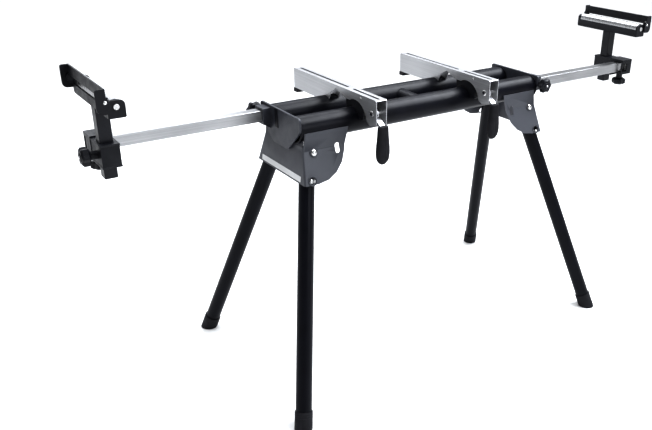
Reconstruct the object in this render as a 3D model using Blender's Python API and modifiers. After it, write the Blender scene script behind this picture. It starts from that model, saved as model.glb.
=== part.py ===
"""Folding stand for a miter saw, at real size in metres, +Z up, standing on the floor at z = 0.

X runs along the two rails. The right end is +X and the front is -Y. Each end's arm, carriage and
work support is modelled for the right end, and the left end has the same turned half round.
"""
import math

import bmesh
import bpy
from mathutils import Matrix, Vector

# Clearances and cuts
SEAT_GAP = 0.0003
RUN_GAP = 0.0005
OVERRUN = 0.004
WELD_DISTANCE = 0.00001
CORNER_STEPS = 4
ROUND_STEPS = 24
SMALL_STEPS = 16
ARC_STEPS = 10
SMOOTH_ANGLE = math.radians(35)
HALF_TURN = math.pi
QUARTER_TURN = math.pi / 2

# Beam: two round rails and the tube between them
RAIL_LENGTH = 0.833
RAIL_RADIUS = 0.0335
RAIL_WALL = 0.0025
RAIL_SPACING = 0.134
RAIL_TOP_Z = 0.760
CROSS_RADIUS = 0.0235
CROSS_WALL = 0.0020
RAIL_Y = RAIL_SPACING / 2
RAIL_Z = RAIL_TOP_Z - RAIL_RADIUS
RAIL_END = RAIL_LENGTH / 2
RAIL_BORE = RAIL_RADIUS - RAIL_WALL

# Telescopic arms
ARM_SIZE = 0.0295
ARM_WALL = 0.0020
ARM_CORNER = 0.0015
ARM_RISE = 0.0095
ARM_REACH = 0.465
ARM_INSERT = 0.0765
ARM_CAP_LIP = 0.0025
ARM_PLUG = 0.014
GLIDE_LENGTH = 0.028
GLIDE_END_WALL = 0.005
ARM_HALF = ARM_SIZE / 2
ARM_Z = RAIL_Z + ARM_RISE
ARM_OUTER_X = RAIL_END + ARM_REACH
ARM_INNER_X = RAIL_END - ARM_INSERT

# End plates with the arm's collar
END_PLATE = 0.006
END_RISE = 0.004
END_MARGIN = 0.0045
END_SIDE = 0.036
END_DROP = 0.097
END_TIP_HALF = 0.040
END_CORNER = 0.008
END_SHOULDER = 0.030
END_TIP_CORNER = 0.015
COLLAR_WALL = 0.0070
COLLAR_LENGTH = 0.0235
COLLAR_CORNER = 0.002
GUSSET_DROP = 0.014
GUSSET_WIDTH = 0.030
END_FACE = RAIL_END + SEAT_GAP + END_PLATE
COLLAR_HALF = ARM_HALF + COLLAR_WALL
COLLAR_END = END_FACE + COLLAR_LENGTH
COLLAR_MIDDLE = END_FACE + COLLAR_LENGTH / 2

# Legs: slopes are metres out for each metre down
LEG_OUT_X_SHARE = 0.2475
LEG_OUT_Y_SHARE = 0.3427
LEG_RADIUS = 0.021
LEG_WALL = 0.0018
LEG_ABOVE_PIVOT = 0.018
PIVOT_BEHIND_END = 0.0304
PIVOT_Y = 0.0738
PIVOT_Z = 0.660
LEFT_NEST = math.radians(-3.3)
RIGHT_NEST = math.radians(4.75)
FOOT_RADIUS = 0.0235
FOOT_HEIGHT = 0.046
FOOT_WALL_UNDER = 0.004
FOOT_ROUND = 0.006
FOOT_BELOW = 0.013
PIVOT_X = RAIL_END - PIVOT_BEHIND_END

# Leg housings of folded sheet
SHEET = 0.0020
LEG_SIDE_GAP = 0.0094
FOLD_RADIUS = 0.006
HOUSING_TOP_DROP = 0.0375
HOUSING_BOTTOM_Z = 0.593
HOUSING_TOP_OUTER = 0.0080
HOUSING_LEAN_SHARE = 0.140
HOUSING_LENGTH = 0.1395
HOUSING_INNER_LEAN_SHARE = 0.275
HOUSING_CURVE = 0.095
PANEL_BELOW_RAIL = 0.0055
SLOT_WIDTH = 0.014
SLOT_HEIGHT = 0.028
SLOT_ROUND_SHARE = 0.9
HOUSING_INNER_X = RAIL_END - HOUSING_LENGTH
HOUSING_TOP_Z = RAIL_TOP_Z - HOUSING_TOP_DROP
LAP_Y = RAIL_Y + RAIL_RADIUS + SEAT_GAP + SHEET

# Pivot bolts
BOLT_RADIUS = 0.005
BOLT_SHOULDER_RADIUS = 0.009
BOLT_NECK_RADIUS = 0.0065
BOLT_HEAD_RADIUS = 0.0090
BOLT_HEAD_HEIGHT = 0.0045
BOLT_HEAD_STANDOFF = 0.0025
BOLT_NECK_STANDOFF = 0.0014
BOLT_SHOULDER_TRIM = 0.0012
NUT_RADIUS = 0.0085
NUT_HEIGHT = 0.006

# Latch buttons
LATCH_DROP = 0.073
BUTTON_RADIUS = 0.0070
BUTTON_FLANGE_RADIUS = 0.0090
BUTTON_FLANGE = 0.002
BUTTON_TAIL = 0.006
BUTTON_DOME_SHARE = 0.5
LEFT_BUTTON_REACH = 0.0090
RIGHT_BUTTON_REACH = 0.0023
LATCH_HOLE_RADIUS = 0.0090

# Lobed knobs
KNOB_RADIUS = 0.0205
KNOB_LOBE = 0.0025
KNOB_THICKNESS = 0.020
KNOB_EDGE = 0.004
KNOB_LOBES = 6
KNOB_POINTS_PER_LOBE = 5
KNOB_HUB_RADIUS = 0.010
KNOB_STUD_RADIUS = 0.004
ARM_KNOB_STANDOFF = 0.020
CARRIAGE_KNOB_STANDOFF = 0.019
POST_KNOB_STANDOFF = 0.018

# Carriages
POST_SIZE = 0.030
POST_WALL = 0.0020
POST_BEHIND_END = 0.0185
SLEEVE_LENGTH_X = 0.046
SLEEVE_BACK = 0.030
SLEEVE_TOP_DROP = 0.003
SLEEVE_HEIGHT = 0.056
SOCKET_LENGTH = 0.079
SOCKET_TOP_WALL = 0.0110
SOCKET_BOTTOM_WALL = 0.0080
SOCKET_SIDE_GAP = 0.0080
SOCKET_SIDE_WALL = 0.0045
SOCKET_INNER_WALL = 0.0100
WINDOW_LENGTH = 0.022
WINDOW_HEIGHT = 0.027
CARRIAGE_CORNER = 0.0015
POST_HALF = POST_SIZE / 2
POST_X = ARM_OUTER_X - POST_BEHIND_END
CARRIAGE_END = ARM_OUTER_X + ARM_CAP_LIP + RUN_GAP
CARRIAGE_TOP = ARM_Z + ARM_HALF + SOCKET_TOP_WALL
CARRIAGE_BOTTOM = ARM_Z - ARM_HALF - SOCKET_BOTTOM_WALL
CARRIAGE_FRONT = RAIL_Y + ARM_HALF + SOCKET_SIDE_GAP + SOCKET_SIDE_WALL
SLEEVE_TOP = CARRIAGE_TOP - SLEEVE_TOP_DROP

# Posts and heads
POST_LENGTH = 0.172
POST_TAIL = 0.02975
HEAD_HALF = 0.1275
TRAY_HALF = 0.019
TRAY_WALL = 0.0020
TRAY_SIDE = 0.0215
EAR_HEIGHT = 0.038
EAR_THICKNESS = 0.0060
EAR_CORNER = 0.010
EAR_FOOT_CORNER = 0.003
LOBE_RADIUS = 0.0085
ROLLER_RADIUS = 0.0165
ROLLER_WALL = 0.0020
ROLLER_HUB = 0.010
ROLLER_END_GAP = 0.0008
ROLLER_RISE = 0.0245
AXLE_RADIUS = 0.0040
AXLE_HEAD_RADIUS = 0.0065
AXLE_HEAD = 0.0015
POST_BOTTOM_Z = SLEEVE_TOP - SLEEVE_HEIGHT - POST_TAIL
POST_TOP_Z = POST_BOTTOM_Z + POST_LENGTH
TRAY_BOTTOM = POST_TOP_Z + SEAT_GAP
ROLLER_Z = TRAY_BOTTOM + ROLLER_RISE

# Flip-up stops
STOP_THICKNESS = 0.0040
STOP_GAP = 0.0012
STOP_BOTTOM_RISE = 0.0415
STOP_TOP_RISE = 0.0663
STOP_PLATE = 0.0030
STOP_PLATE_OUT = 0.0415
STOP_PLATE_DROP = 0.0250
STOP_PLATE_CORNER = 0.012
STOP_TOP_CORNER = 0.005
STOP_PIN_RADIUS = 0.0030
STOP_PIN_OUT = 0.023
STOP_PIN_RISE = 0.0372
STOP_NOTCH_GAP = 0.0015
STOP_RIB = 0.0008
STOP_RIBS = 5

# Tool brackets
BRACKET_1_X = -0.227
BRACKET_2_X = 0.159
BRACKET_HALF = 0.0165
BRACKET_WALL = 0.0020
BRACKET_FRONT = 0.181
BRACKET_BACK = 0.2415
BRACKET_TOP_RISE = 0.042
BRACKET_REAR_DEPTH = 0.058
BRACKET_CORNER = 0.004
BRACKET_NOSE_DEPTH = 0.064
BRACKET_CHIN_DEPTH = 0.072
BRACKET_CHIN_Y = 0.152
ARCH_Y = 0.083
ARCH_DROP = 0.074
ARCH_RADIUS = 0.055
ARCH_FROM = math.radians(62)
ARCH_TO = math.radians(170)
BRIDGE_FRONT_Y = 0.034
BRIDGE_DEPTH = 0.026
NOTCH_TOP_Y = 0.011
NOTCH_TOP_DEPTH = 0.009
NOTCH_BACK_Y = 0.037
SADDLE_TO = math.radians(125)
TOP_SLOT_HALF = 0.0035
FRONT_SLOT = (-0.169, -0.050)
REAR_SLOT = (-0.027, 0.231)
BRACKET_TOP = RAIL_TOP_Z + BRACKET_TOP_RISE

# Bracket clamp: pad, jaw, lever and grip
PAD_DEPTH = 0.024
PAD_FRONT_Y = 0.2015
PAD_OVERHANG = 0.0015
PAD_PLUG = 0.012
JAW_FRONT = 0.118
JAW_BACK = 0.0360
JAW_LIP_DROP = 0.025
JAW_NOSE_TOP = 0.781
JAW_NOSE_BOTTOM = 0.757
JAW_FROM = math.radians(25)
JAW_TO = math.radians(165)
JAW_RIB = 0.0012
JAW_RIBS = 4
LEVER_Y = 0.161
LEVER_DROP = 0.038
LEVER_CAM_RADIUS = 0.0160
LEVER_HALF = 0.0025
LEVER_WIDTH = 0.012
LEVER_ELBOW_Y = 0.188
LEVER_ELBOW_DROP = 0.050
LEVER_TONGUE_DROP = 0.105
RIVET_RADIUS = 0.0040
RIVET_HEAD_RADIUS = 0.0080
RIVET_HEAD = 0.0020
GRIP_TOP_DROP = 0.066
GRIP_LENGTH = 0.103
GRIP_HALF_WIDTH = 0.0205
GRIP_HALF_DEPTH = 0.0095
GRIP_WIDTH_SHARES = ((0.0, 0.66), (0.04, 0.76), (0.25, 0.82), (0.55, 0.97),
                     (0.72, 1.0), (0.88, 0.86), (0.97, 0.52), (1.0, 0.30))
GRIP_SQUARENESS = 2.6
GRIP_POINTS = 24
LEVER_Z = BRACKET_TOP - LEVER_DROP

# Finishes: colour, roughness, metallic
FINISHES = {
    "black_gloss": ((0.012, 0.012, 0.014), 0.25, 0.0),
    "dark_grey": ((0.035, 0.037, 0.042), 0.45, 0.0),
    "black_plastic": ((0.010, 0.010, 0.011), 0.55, 0.0),
    "rubber": ((0.012, 0.012, 0.012), 0.80, 0.0),
    "zinc": ((0.62, 0.63, 0.64), 0.38, 1.0),
    "aluminium": ((0.78, 0.78, 0.79), 0.32, 1.0),
    "bolt_steel": ((0.66, 0.66, 0.66), 0.30, 1.0),
}

for stale in list(bpy.data.objects):
    bpy.data.objects.remove(stale)
parts = bpy.data.collections.new("miter_saw_stand")
cutters = bpy.data.collections.new("cutters")
bpy.context.scene.collection.children.link(parts)
bpy.context.scene.collection.children.link(cutters)

# Ends: the right as modelled, the left turned half round
RIGHT_END = Matrix.Identity(4)
LEFT_END = Matrix.Rotation(HALF_TURN, 4, "Z")
ENDS = (("right", 1, RIGHT_END), ("left", -1, LEFT_END))

# Turns that stand a flat outline up: (u, v) to (Y, Z) or to (X, Z)
ACROSS_X = Matrix(((0, 0, 1, 0), (1, 0, 0, 0), (0, 1, 0, 0), (0, 0, 0, 1)))
ACROSS_Y = Matrix(((1, 0, 0, 0), (0, 0, -1, 0), (0, 1, 0, 0), (0, 0, 0, 1)))
ACROSS_Z = Matrix.Identity(4)


def new_object(name, mesh):
    obj = bpy.data.objects.new(name, mesh)
    parts.objects.link(obj)
    return obj


def mesh_object(name, bm):
    bmesh.ops.recalc_face_normals(bm, faces=bm.faces)
    mesh = bpy.data.meshes.new(name)
    bm.to_mesh(mesh)
    bm.free()
    return new_object(name, mesh)


def box(name, low, high):
    """Box between two corners."""
    low, high = Vector(low), Vector(high)
    bm = bmesh.new()
    bmesh.ops.create_cube(bm, size=1)
    bmesh.ops.scale(bm, vec=high - low, verts=bm.verts)
    bmesh.ops.translate(bm, vec=(low + high) / 2, verts=bm.verts)
    return mesh_object(name, bm)


def cylinder(name, start, end, radius, steps=ROUND_STEPS, capped=True):
    """Cylinder between two points; without caps it is the open skin of a tube."""
    start, end = Vector(start), Vector(end)
    bm = bmesh.new()
    bmesh.ops.create_cone(bm, cap_ends=capped, segments=steps, radius1=radius, radius2=radius,
                          depth=(end - start).length)
    turn = (end - start).to_track_quat("Z", "Y").to_matrix().to_4x4()
    bmesh.ops.transform(bm, matrix=Matrix.Translation((start + end) / 2) @ turn, verts=bm.verts)
    return mesh_object(name, bm)


def tube(name, start, end, radius, wall, steps=ROUND_STEPS):
    """Round tube, open at both ends."""
    obj = cylinder(name, start, end, radius, steps, capped=False)
    thicken(obj, wall)
    return obj


def thicken(obj, wall):
    shell = obj.modifiers.new("wall", "SOLIDIFY")
    shell.thickness = wall
    shell.offset = -1
    shell.use_even_offset = True


def arc(centre, radius, start, end, steps=ARC_STEPS):
    """Points of an arc, as corners of no radius."""
    turns = [start + (end - start) * i / steps for i in range(steps + 1)]
    return [(centre[0] + radius * math.cos(turn), centre[1] + radius * math.sin(turn), 0) for turn in turns]


def rounded(corners):
    """Outline points of a polygon whose corners (u, v, radius) are rounded."""
    points = []
    count = len(corners)
    for i, (u, v, radius) in enumerate(corners):
        here = Vector((u, v))
        if not radius:
            points.append(here)
            continue
        back = (Vector(corners[i - 1][:2]) - here).normalized()
        ahead = (Vector(corners[(i + 1) % count][:2]) - here).normalized()
        half = back.angle(ahead) / 2
        centre = here + (back + ahead).normalized() * radius / math.sin(half)
        first = here + back * radius / math.tan(half) - centre
        last = here + ahead * radius / math.tan(half) - centre
        sweep = first.angle_signed(last)
        for step in range(CORNER_STEPS + 1):
            turn = Matrix.Rotation(-sweep * step / CORNER_STEPS, 2)
            points.append(centre + turn @ first)
    return points


def prism(name, corners, standing, low, high):
    """Flat outline filled and extruded from low to high along the axis that it is stood across."""
    points = rounded(corners)
    curve = bpy.data.curves.new(name, "CURVE")
    curve.dimensions = "2D"
    curve.fill_mode = "BOTH"
    curve.extrude = (high - low) / 2
    spline = curve.splines.new("POLY")
    spline.points.add(len(points) - 1)
    for target, point in zip(spline.points, points):
        target.co = (point[0], point[1], 0, 1)
    spline.use_cyclic_u = True
    guide = new_object(name + "_outline", curve)
    graph = bpy.context.evaluated_depsgraph_get()
    mesh = bpy.data.meshes.new_from_object(guide.evaluated_get(graph))
    bpy.data.objects.remove(guide)
    bpy.data.curves.remove(curve)
    middle = (low + high) / 2 * (-1 if standing is ACROSS_Y else 1)
    bm = bmesh.new()
    bm.from_mesh(mesh)
    bmesh.ops.remove_doubles(bm, verts=bm.verts, dist=WELD_DISTANCE)
    bmesh.ops.transform(bm, matrix=standing @ Matrix.Translation((0, 0, middle)), verts=bm.verts)
    bpy.data.meshes.remove(mesh)
    return mesh_object(name, bm)


def turned(name, profile, steps=ROUND_STEPS):
    """Solid of revolution about Z from (radius, z) points that run from top to bottom."""
    bm = bmesh.new()
    verts = [bm.verts.new((radius, 0, z)) for radius, z in profile]
    for start, end in zip(verts, verts[1:]):
        bm.edges.new((start, end))
    mesh = bpy.data.meshes.new(name)
    bm.to_mesh(mesh)
    bm.free()
    obj = new_object(name, mesh)
    screw = obj.modifiers.new("turn", "SCREW")
    screw.steps = screw.render_steps = steps
    screw.use_merge_vertices = True
    screw.merge_threshold = WELD_DISTANCE
    return obj


def loft(name, rings):
    """Closed skin over rings that have the same number of points."""
    bm = bmesh.new()
    loops = [[bm.verts.new(point) for point in ring] for ring in rings]
    for low, high in zip(loops, loops[1:]):
        for i in range(len(low)):
            j = (i + 1) % len(low)
            bm.faces.new((low[i], low[j], high[j], high[i]))
    bm.faces.new(loops[0])
    bm.faces.new(loops[-1])
    return mesh_object(name, bm)


def combine(obj, other, operation):
    """Boolean with an object that is kept aside as a guide."""
    parts.objects.unlink(other)
    cutters.objects.link(other)
    other.hide_render = True
    other.display_type = "WIRE"
    other.parent = obj
    step = obj.modifiers.new(other.name, "BOOLEAN")
    step.operation = operation
    step.object = other


def cut(obj, other):
    combine(obj, other, "DIFFERENCE")


def join(obj, other):
    combine(obj, other, "UNION")


def bevel(obj, width, segments=1):
    edge = obj.modifiers.new("edges", "BEVEL")
    edge.width = width
    edge.segments = segments
    edge.limit_method = "ANGLE"


def finish(obj, finish_name, smooth=True):
    """Give the piece its own material, and shade it smooth up to the sharp edges."""
    colour, roughness, metallic = FINISHES[finish_name]
    material = bpy.data.materials.new(obj.name + "_finish")
    material.use_nodes = True
    shader = material.node_tree.nodes["Principled BSDF"]
    shader.inputs["Base Color"].default_value = (*colour, 1)
    shader.inputs["Roughness"].default_value = roughness
    shader.inputs["Metallic"].default_value = metallic
    material.diffuse_color = (*colour, 1)
    obj.data.materials.append(material)
    if smooth and obj.data.polygons:
        obj.data.shade_smooth()
        obj.data.set_sharp_from_angle(angle=SMOOTH_ANGLE)
    return obj


def seat(obj, origin, end=RIGHT_END, parent=None):
    """Move the piece's origin to its joint's axis, then take the piece to its end of the stand."""
    shift = Matrix.Translation(-Vector(origin))
    for piece in (obj, *obj.children):
        piece.data.transform(shift)
    place = end @ Matrix.Translation(origin)
    if parent:
        obj.parent = parent
        obj.matrix_parent_inverse = parent.matrix_world.inverted()
    obj.matrix_world = place
    bpy.context.view_layer.update()
    return obj


# Beam
def rails():
    for name, y in (("front_rail", -RAIL_Y), ("rear_rail", RAIL_Y)):
        rail = tube(name, (-RAIL_END, y, RAIL_Z), (RAIL_END, y, RAIL_Z), RAIL_RADIUS, RAIL_WALL)
        finish(rail, "black_gloss")
        seat(rail, (0, y, RAIL_Z))


def cross_tube():
    """Middle tube, its ends fish-mouthed round the rails."""
    name = "cross_tube"
    cross = tube(name, (0, -RAIL_Y, RAIL_Z), (0, RAIL_Y, RAIL_Z), CROSS_RADIUS, CROSS_WALL)
    for side in (-1, 1):
        reach = CROSS_RADIUS + OVERRUN
        cut(cross, cylinder(f"{name}_mouth_{side}", (-reach, side * RAIL_Y, RAIL_Z),
                            (reach, side * RAIL_Y, RAIL_Z), RAIL_RADIUS + SEAT_GAP, ROUND_STEPS * 2))
    finish(cross, "black_gloss")
    seat(cross, (0, 0, RAIL_Z))


def end_plate(word, end):
    """Shield-shaped plate over the rails' ends, with the collar that the arm slides through."""
    name = f"{word}_end_plate"
    top = RAIL_TOP_Z + END_RISE
    half = RAIL_Y + RAIL_RADIUS + END_MARGIN
    outline = [(half, top, END_CORNER), (-half, top, END_CORNER), (-half, top - END_SIDE, END_SHOULDER),
               (-END_TIP_HALF, top - END_DROP, END_TIP_CORNER),
               (END_TIP_HALF, top - END_DROP, END_TIP_CORNER), (half, top - END_SIDE, END_SHOULDER)]
    inner = RAIL_END + SEAT_GAP
    plate = prism(name, outline, ACROSS_X, inner, END_FACE)
    rim = END_FACE - END_PLATE / 2
    low, high = ARM_Z - COLLAR_HALF, ARM_Z + COLLAR_HALF
    left, right = -RAIL_Y - COLLAR_HALF, -RAIL_Y + COLLAR_HALF
    square = [(left, low, COLLAR_CORNER), (right, low, COLLAR_CORNER), (right, high, COLLAR_CORNER),
              (left, high, COLLAR_CORNER)]
    join(plate, prism(f"{name}_collar", square, ACROSS_X, rim, COLLAR_END))
    inside = low + COLLAR_WALL / 2
    wedge = [(rim, low - GUSSET_DROP, 0), (END_FACE, low - GUSSET_DROP, 0),
             (COLLAR_END - COLLAR_CORNER, low, 0), (COLLAR_END - COLLAR_CORNER, inside, 0), (rim, inside, 0)]
    half_gusset = GUSSET_WIDTH / 2
    join(plate, prism(f"{name}_gusset", wedge, ACROSS_Y, -RAIL_Y - half_gusset, -RAIL_Y + half_gusset))
    reach = ARM_HALF + RUN_GAP
    cut(plate, box(f"{name}_bore", (inner - OVERRUN, -RAIL_Y - reach, ARM_Z - reach),
                   (COLLAR_END + OVERRUN, -RAIL_Y + reach, ARM_Z + reach)))
    cut(plate, cylinder(f"{name}_stud_hole", (COLLAR_MIDDLE, left - OVERRUN, ARM_Z),
                        (COLLAR_MIDDLE, -RAIL_Y, ARM_Z), KNOB_STUD_RADIUS + SEAT_GAP, SMALL_STEPS))
    finish(plate, "dark_grey")
    seat(plate, (RAIL_END, 0, RAIL_Z), end)


# Legs
def leg_axes(side_x, side_y):
    """A leg's pivot, its direction when open, the housing plate's outward normal and the hinge axis."""
    pivot = Vector((side_x * PIVOT_X, side_y * PIVOT_Y, PIVOT_Z))
    down = Vector((side_x * LEG_OUT_X_SHARE, side_y * LEG_OUT_Y_SHARE, -1)).normalized()
    normal = Vector((0, side_y, LEG_OUT_Y_SHARE)).normalized()
    nest = RIGHT_NEST if side_x > 0 else LEFT_NEST
    folded = Vector((-side_x * math.cos(nest), 0, 0)) + normal * math.sin(nest)
    hinge = down.cross(folded).normalized()
    return pivot, down, normal, folded, hinge


def frame_of(origin, across, up):
    """Matrix at origin whose Y is across and whose Z is up; the two are square to each other."""
    side = across.cross(up)
    turn = Matrix((side, across, up)).transposed()
    return Matrix.Translation(origin) @ turn.to_4x4()


def plate_distance():
    """From the legs' plane to the outer face of the housing's sloping plate, square to both."""
    return LEG_RADIUS + LEG_SIDE_GAP + SHEET


def plate_y(z):
    """Outer face of the sloping plate at height z."""
    tilt = math.hypot(1, LEG_OUT_Y_SHARE)
    return PIVOT_Y + plate_distance() * tilt + LEG_OUT_Y_SHARE * (PIVOT_Z - z)


def panel_x(z):
    """Outer face of the end panel at height z."""
    return RAIL_END - HOUSING_TOP_OUTER + HOUSING_LEAN_SHARE * (HOUSING_TOP_Z - z)


def housing(word, side_x, end):
    """Folded sheet: a plate outside each pair of rails, joined by the sloping panel under the rails' ends."""
    name = f"{word}_leg_housing"
    bend_z = PIVOT_Z + (plate_y(PIVOT_Z) - LAP_Y) / LEG_OUT_Y_SHARE
    levels = (HOUSING_BOTTOM_Z - OVERRUN, bend_z, HOUSING_TOP_Z + OVERRUN)
    bm = bmesh.new()
    rows = []
    for z in levels:
        y = max(plate_y(z), LAP_Y) if z <= bend_z else LAP_Y
        x = panel_x(z)
        row = [(HOUSING_INNER_X - OVERRUN, -y)]
        for sign in (-1, 1):
            centre = (x - FOLD_RADIUS, sign * (y - FOLD_RADIUS))
            start, stop = (-QUARTER_TURN, 0) if sign < 0 else (0, QUARTER_TURN)
            row += [point[:2] for point in arc(centre, FOLD_RADIUS, start, stop, CORNER_STEPS)]
        row.append((HOUSING_INNER_X - OVERRUN, y))
        rows.append([bm.verts.new((*point, z)) for point in row])
    for low, high in zip(rows, rows[1:]):
        for i in range(len(low) - 1):
            bm.faces.new((low[i], low[i + 1], high[i + 1], high[i]))
    mesh = bpy.data.meshes.new(name)
    bm.to_mesh(mesh)
    bm.free()
    sheet = new_object(name, mesh)
    thicken(sheet, SHEET)
    far = RAIL_END + FOLD_RADIUS + OVERRUN * 2
    lean = HOUSING_INNER_LEAN_SHARE
    drop = HOUSING_TOP_Z - HOUSING_BOTTOM_Z
    side = [(HOUSING_INNER_X, HOUSING_TOP_Z, 0),
            (HOUSING_INNER_X + lean * drop, HOUSING_BOTTOM_Z, HOUSING_CURVE),
            (far + drop * lean, HOUSING_BOTTOM_Z, 0), (far + drop * lean, HOUSING_TOP_Z, 0)]
    reach = plate_y(HOUSING_BOTTOM_Z) + OVERRUN * 2
    combine(sheet, prism(f"{name}_side", side, ACROSS_Y, -reach, reach), "INTERSECT")
    open_half = RAIL_Y + RAIL_RADIUS + SEAT_GAP / 2
    panel_top = RAIL_Z - RAIL_RADIUS - PANEL_BELOW_RAIL
    deep = RAIL_END - HOUSING_TOP_OUTER - FOLD_RADIUS
    cut(sheet, box(f"{name}_rail_window", (deep, -open_half, panel_top),
                   (far, open_half, HOUSING_TOP_Z + OVERRUN * 2)))
    for side_y in (-1, 1):
        pivot, down, normal, folded, hinge = leg_axes(side_x, side_y)
        outward = hinge if hinge.dot(normal) > 0 else -hinge
        latch = pivot + down * LATCH_DROP
        near, away = plate_distance() - SHEET - OVERRUN, plate_distance() + OVERRUN
        for use, point, axis, radius in (("pivot", pivot, outward, BOLT_RADIUS + SEAT_GAP),
                                           ("latch", latch, normal, LATCH_HOLE_RADIUS)):
            hole = cylinder(f"{name}_{use}_hole_{side_y}", point + axis * near, point + axis * away, radius,
                            SMALL_STEPS)
            hole.data.transform(end.inverted())
            cut(sheet, hole)
    slot_x = PIVOT_X - LATCH_DROP
    half_w, half_h = SLOT_WIDTH / 2, SLOT_HEIGHT / 2
    slot_z = PIVOT_Z + plate_distance() * leg_axes(side_x, 1)[2].z
    corner = half_w * SLOT_ROUND_SHARE
    slot = [(slot_x - half_w, slot_z - half_h, corner), (slot_x + half_w, slot_z - half_h, corner),
            (slot_x + half_w, slot_z + half_h, corner), (slot_x - half_w, slot_z + half_h, corner)]
    cut(sheet, prism(f"{name}_slots", slot, ACROSS_Y, -reach, reach))
    finish(sheet, "dark_grey")
    seat(sheet, (PIVOT_X, 0, PIVOT_Z), end)


def leg(word, side_x, side_y):
    """Round leg with its foot, the bolt that it turns on and its latch button."""
    pivot, down, normal, folded, hinge = leg_axes(side_x, side_y)
    outward = hinge if hinge.dot(normal) > 0 else -hinge
    frame = frame_of(pivot, normal, -down)
    into = frame.inverted()
    length = PIVOT_Z / -down.z
    tilt = math.tan(math.acos(-down.z))
    tube_end = -(length - LEG_RADIUS * tilt - FOOT_WALL_UNDER)
    name = f"{word}_leg"
    leg_tube = tube(name, (0, 0, tube_end), (0, 0, LEG_ABOVE_PIVOT), LEG_RADIUS, LEG_WALL)
    axis = into.to_3x3() @ outward
    reach = LEG_RADIUS + OVERRUN
    cut(leg_tube, cylinder(f"{name}_pivot_hole", axis * -reach, axis * reach, BOLT_RADIUS + RUN_GAP,
                           SMALL_STEPS))
    cut(leg_tube, cylinder(f"{name}_button_hole", (0, 0, -LATCH_DROP), (0, reach, -LATCH_DROP),
                           BUTTON_RADIUS + SEAT_GAP, SMALL_STEPS))
    finish(leg_tube, "black_gloss")
    leg_tube.matrix_world = frame

    foot_top = -(length - FOOT_HEIGHT)
    foot_end = -(length + FOOT_BELOW)
    bore = LEG_RADIUS + SEAT_GAP
    round_ = FOOT_ROUND
    profile = [(bore, tube_end - SEAT_GAP), (bore, foot_top), (FOOT_RADIUS, foot_top)]
    profile = [(0, tube_end - SEAT_GAP)] + profile
    profile += [(FOOT_RADIUS - round_ + round_ * math.cos(turn), foot_end + round_ - round_ * math.sin(turn))
                for turn in (QUARTER_TURN * i / CORNER_STEPS for i in range(CORNER_STEPS + 1))]
    profile.append((0, foot_end))
    foot = turned(f"{word}_foot", profile)
    wide = FOOT_HEIGHT
    floor = box(f"{word}_foot_floor", (-wide, -wide, -wide), (wide, wide, 0))
    ground = pivot + down * length
    floor.data.transform(into @ Matrix.Translation((ground.x, ground.y, 0)))
    cut(foot, floor)
    finish(foot, "rubber")
    foot.parent = leg_tube

    standoff = plate_distance()
    head_low, neck_low = standoff + BOLT_HEAD_STANDOFF, standoff + BOLT_NECK_STANDOFF
    shoulder_end = standoff - SHEET - BOLT_SHOULDER_TRIM
    nut_end = -LEG_RADIUS - RUN_GAP
    bolt_profile = [(0, head_low + BOLT_HEAD_HEIGHT), (BOLT_HEAD_RADIUS / 2, head_low + BOLT_HEAD_HEIGHT),
                    (BOLT_HEAD_RADIUS, head_low + BOLT_HEAD_HEIGHT / 3), (BOLT_HEAD_RADIUS, head_low),
                    (BOLT_NECK_RADIUS, head_low), (BOLT_NECK_RADIUS, neck_low), (BOLT_RADIUS, neck_low),
                    (BOLT_RADIUS, shoulder_end), (BOLT_SHOULDER_RADIUS, shoulder_end),
                    (BOLT_SHOULDER_RADIUS, LEG_RADIUS + SEAT_GAP), (BOLT_RADIUS, LEG_RADIUS + SEAT_GAP),
                    (BOLT_RADIUS, nut_end), (NUT_RADIUS, nut_end), (NUT_RADIUS, nut_end - NUT_HEIGHT),
                    (0, nut_end - NUT_HEIGHT)]
    bolt = turned(f"{word}_pivot_bolt", bolt_profile, SMALL_STEPS)
    finish(bolt, "bolt_steel")
    bolt.matrix_world = frame_of(pivot, down, outward)

    reach = LEG_RADIUS + (RIGHT_BUTTON_REACH if side_x > 0 else LEFT_BUTTON_REACH)
    flange_top = math.sqrt((LEG_RADIUS - LEG_WALL) ** 2 - BUTTON_FLANGE_RADIUS ** 2) - SEAT_GAP
    dome = BUTTON_RADIUS * BUTTON_DOME_SHARE
    dome = min(dome, reach - LEG_RADIUS)
    button_profile = [(0, reach)]
    button_profile += [(BUTTON_RADIUS * math.sin(turn), reach - dome + dome * math.cos(turn))
                       for turn in (QUARTER_TURN * i / CORNER_STEPS for i in range(1, CORNER_STEPS + 1))]
    flange_low = flange_top - BUTTON_FLANGE
    button_profile += [(BUTTON_RADIUS, flange_top), (BUTTON_FLANGE_RADIUS, flange_top),
                       (BUTTON_FLANGE_RADIUS, flange_low), (BUTTON_RADIUS, flange_low),
                       (BUTTON_RADIUS, flange_low - BUTTON_TAIL), (0, flange_low - BUTTON_TAIL)]
    button = turned(f"{word}_latch_button", button_profile, SMALL_STEPS)
    finish(button, "bolt_steel")
    button.matrix_world = frame_of(pivot + down * LATCH_DROP, down, normal)


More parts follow.
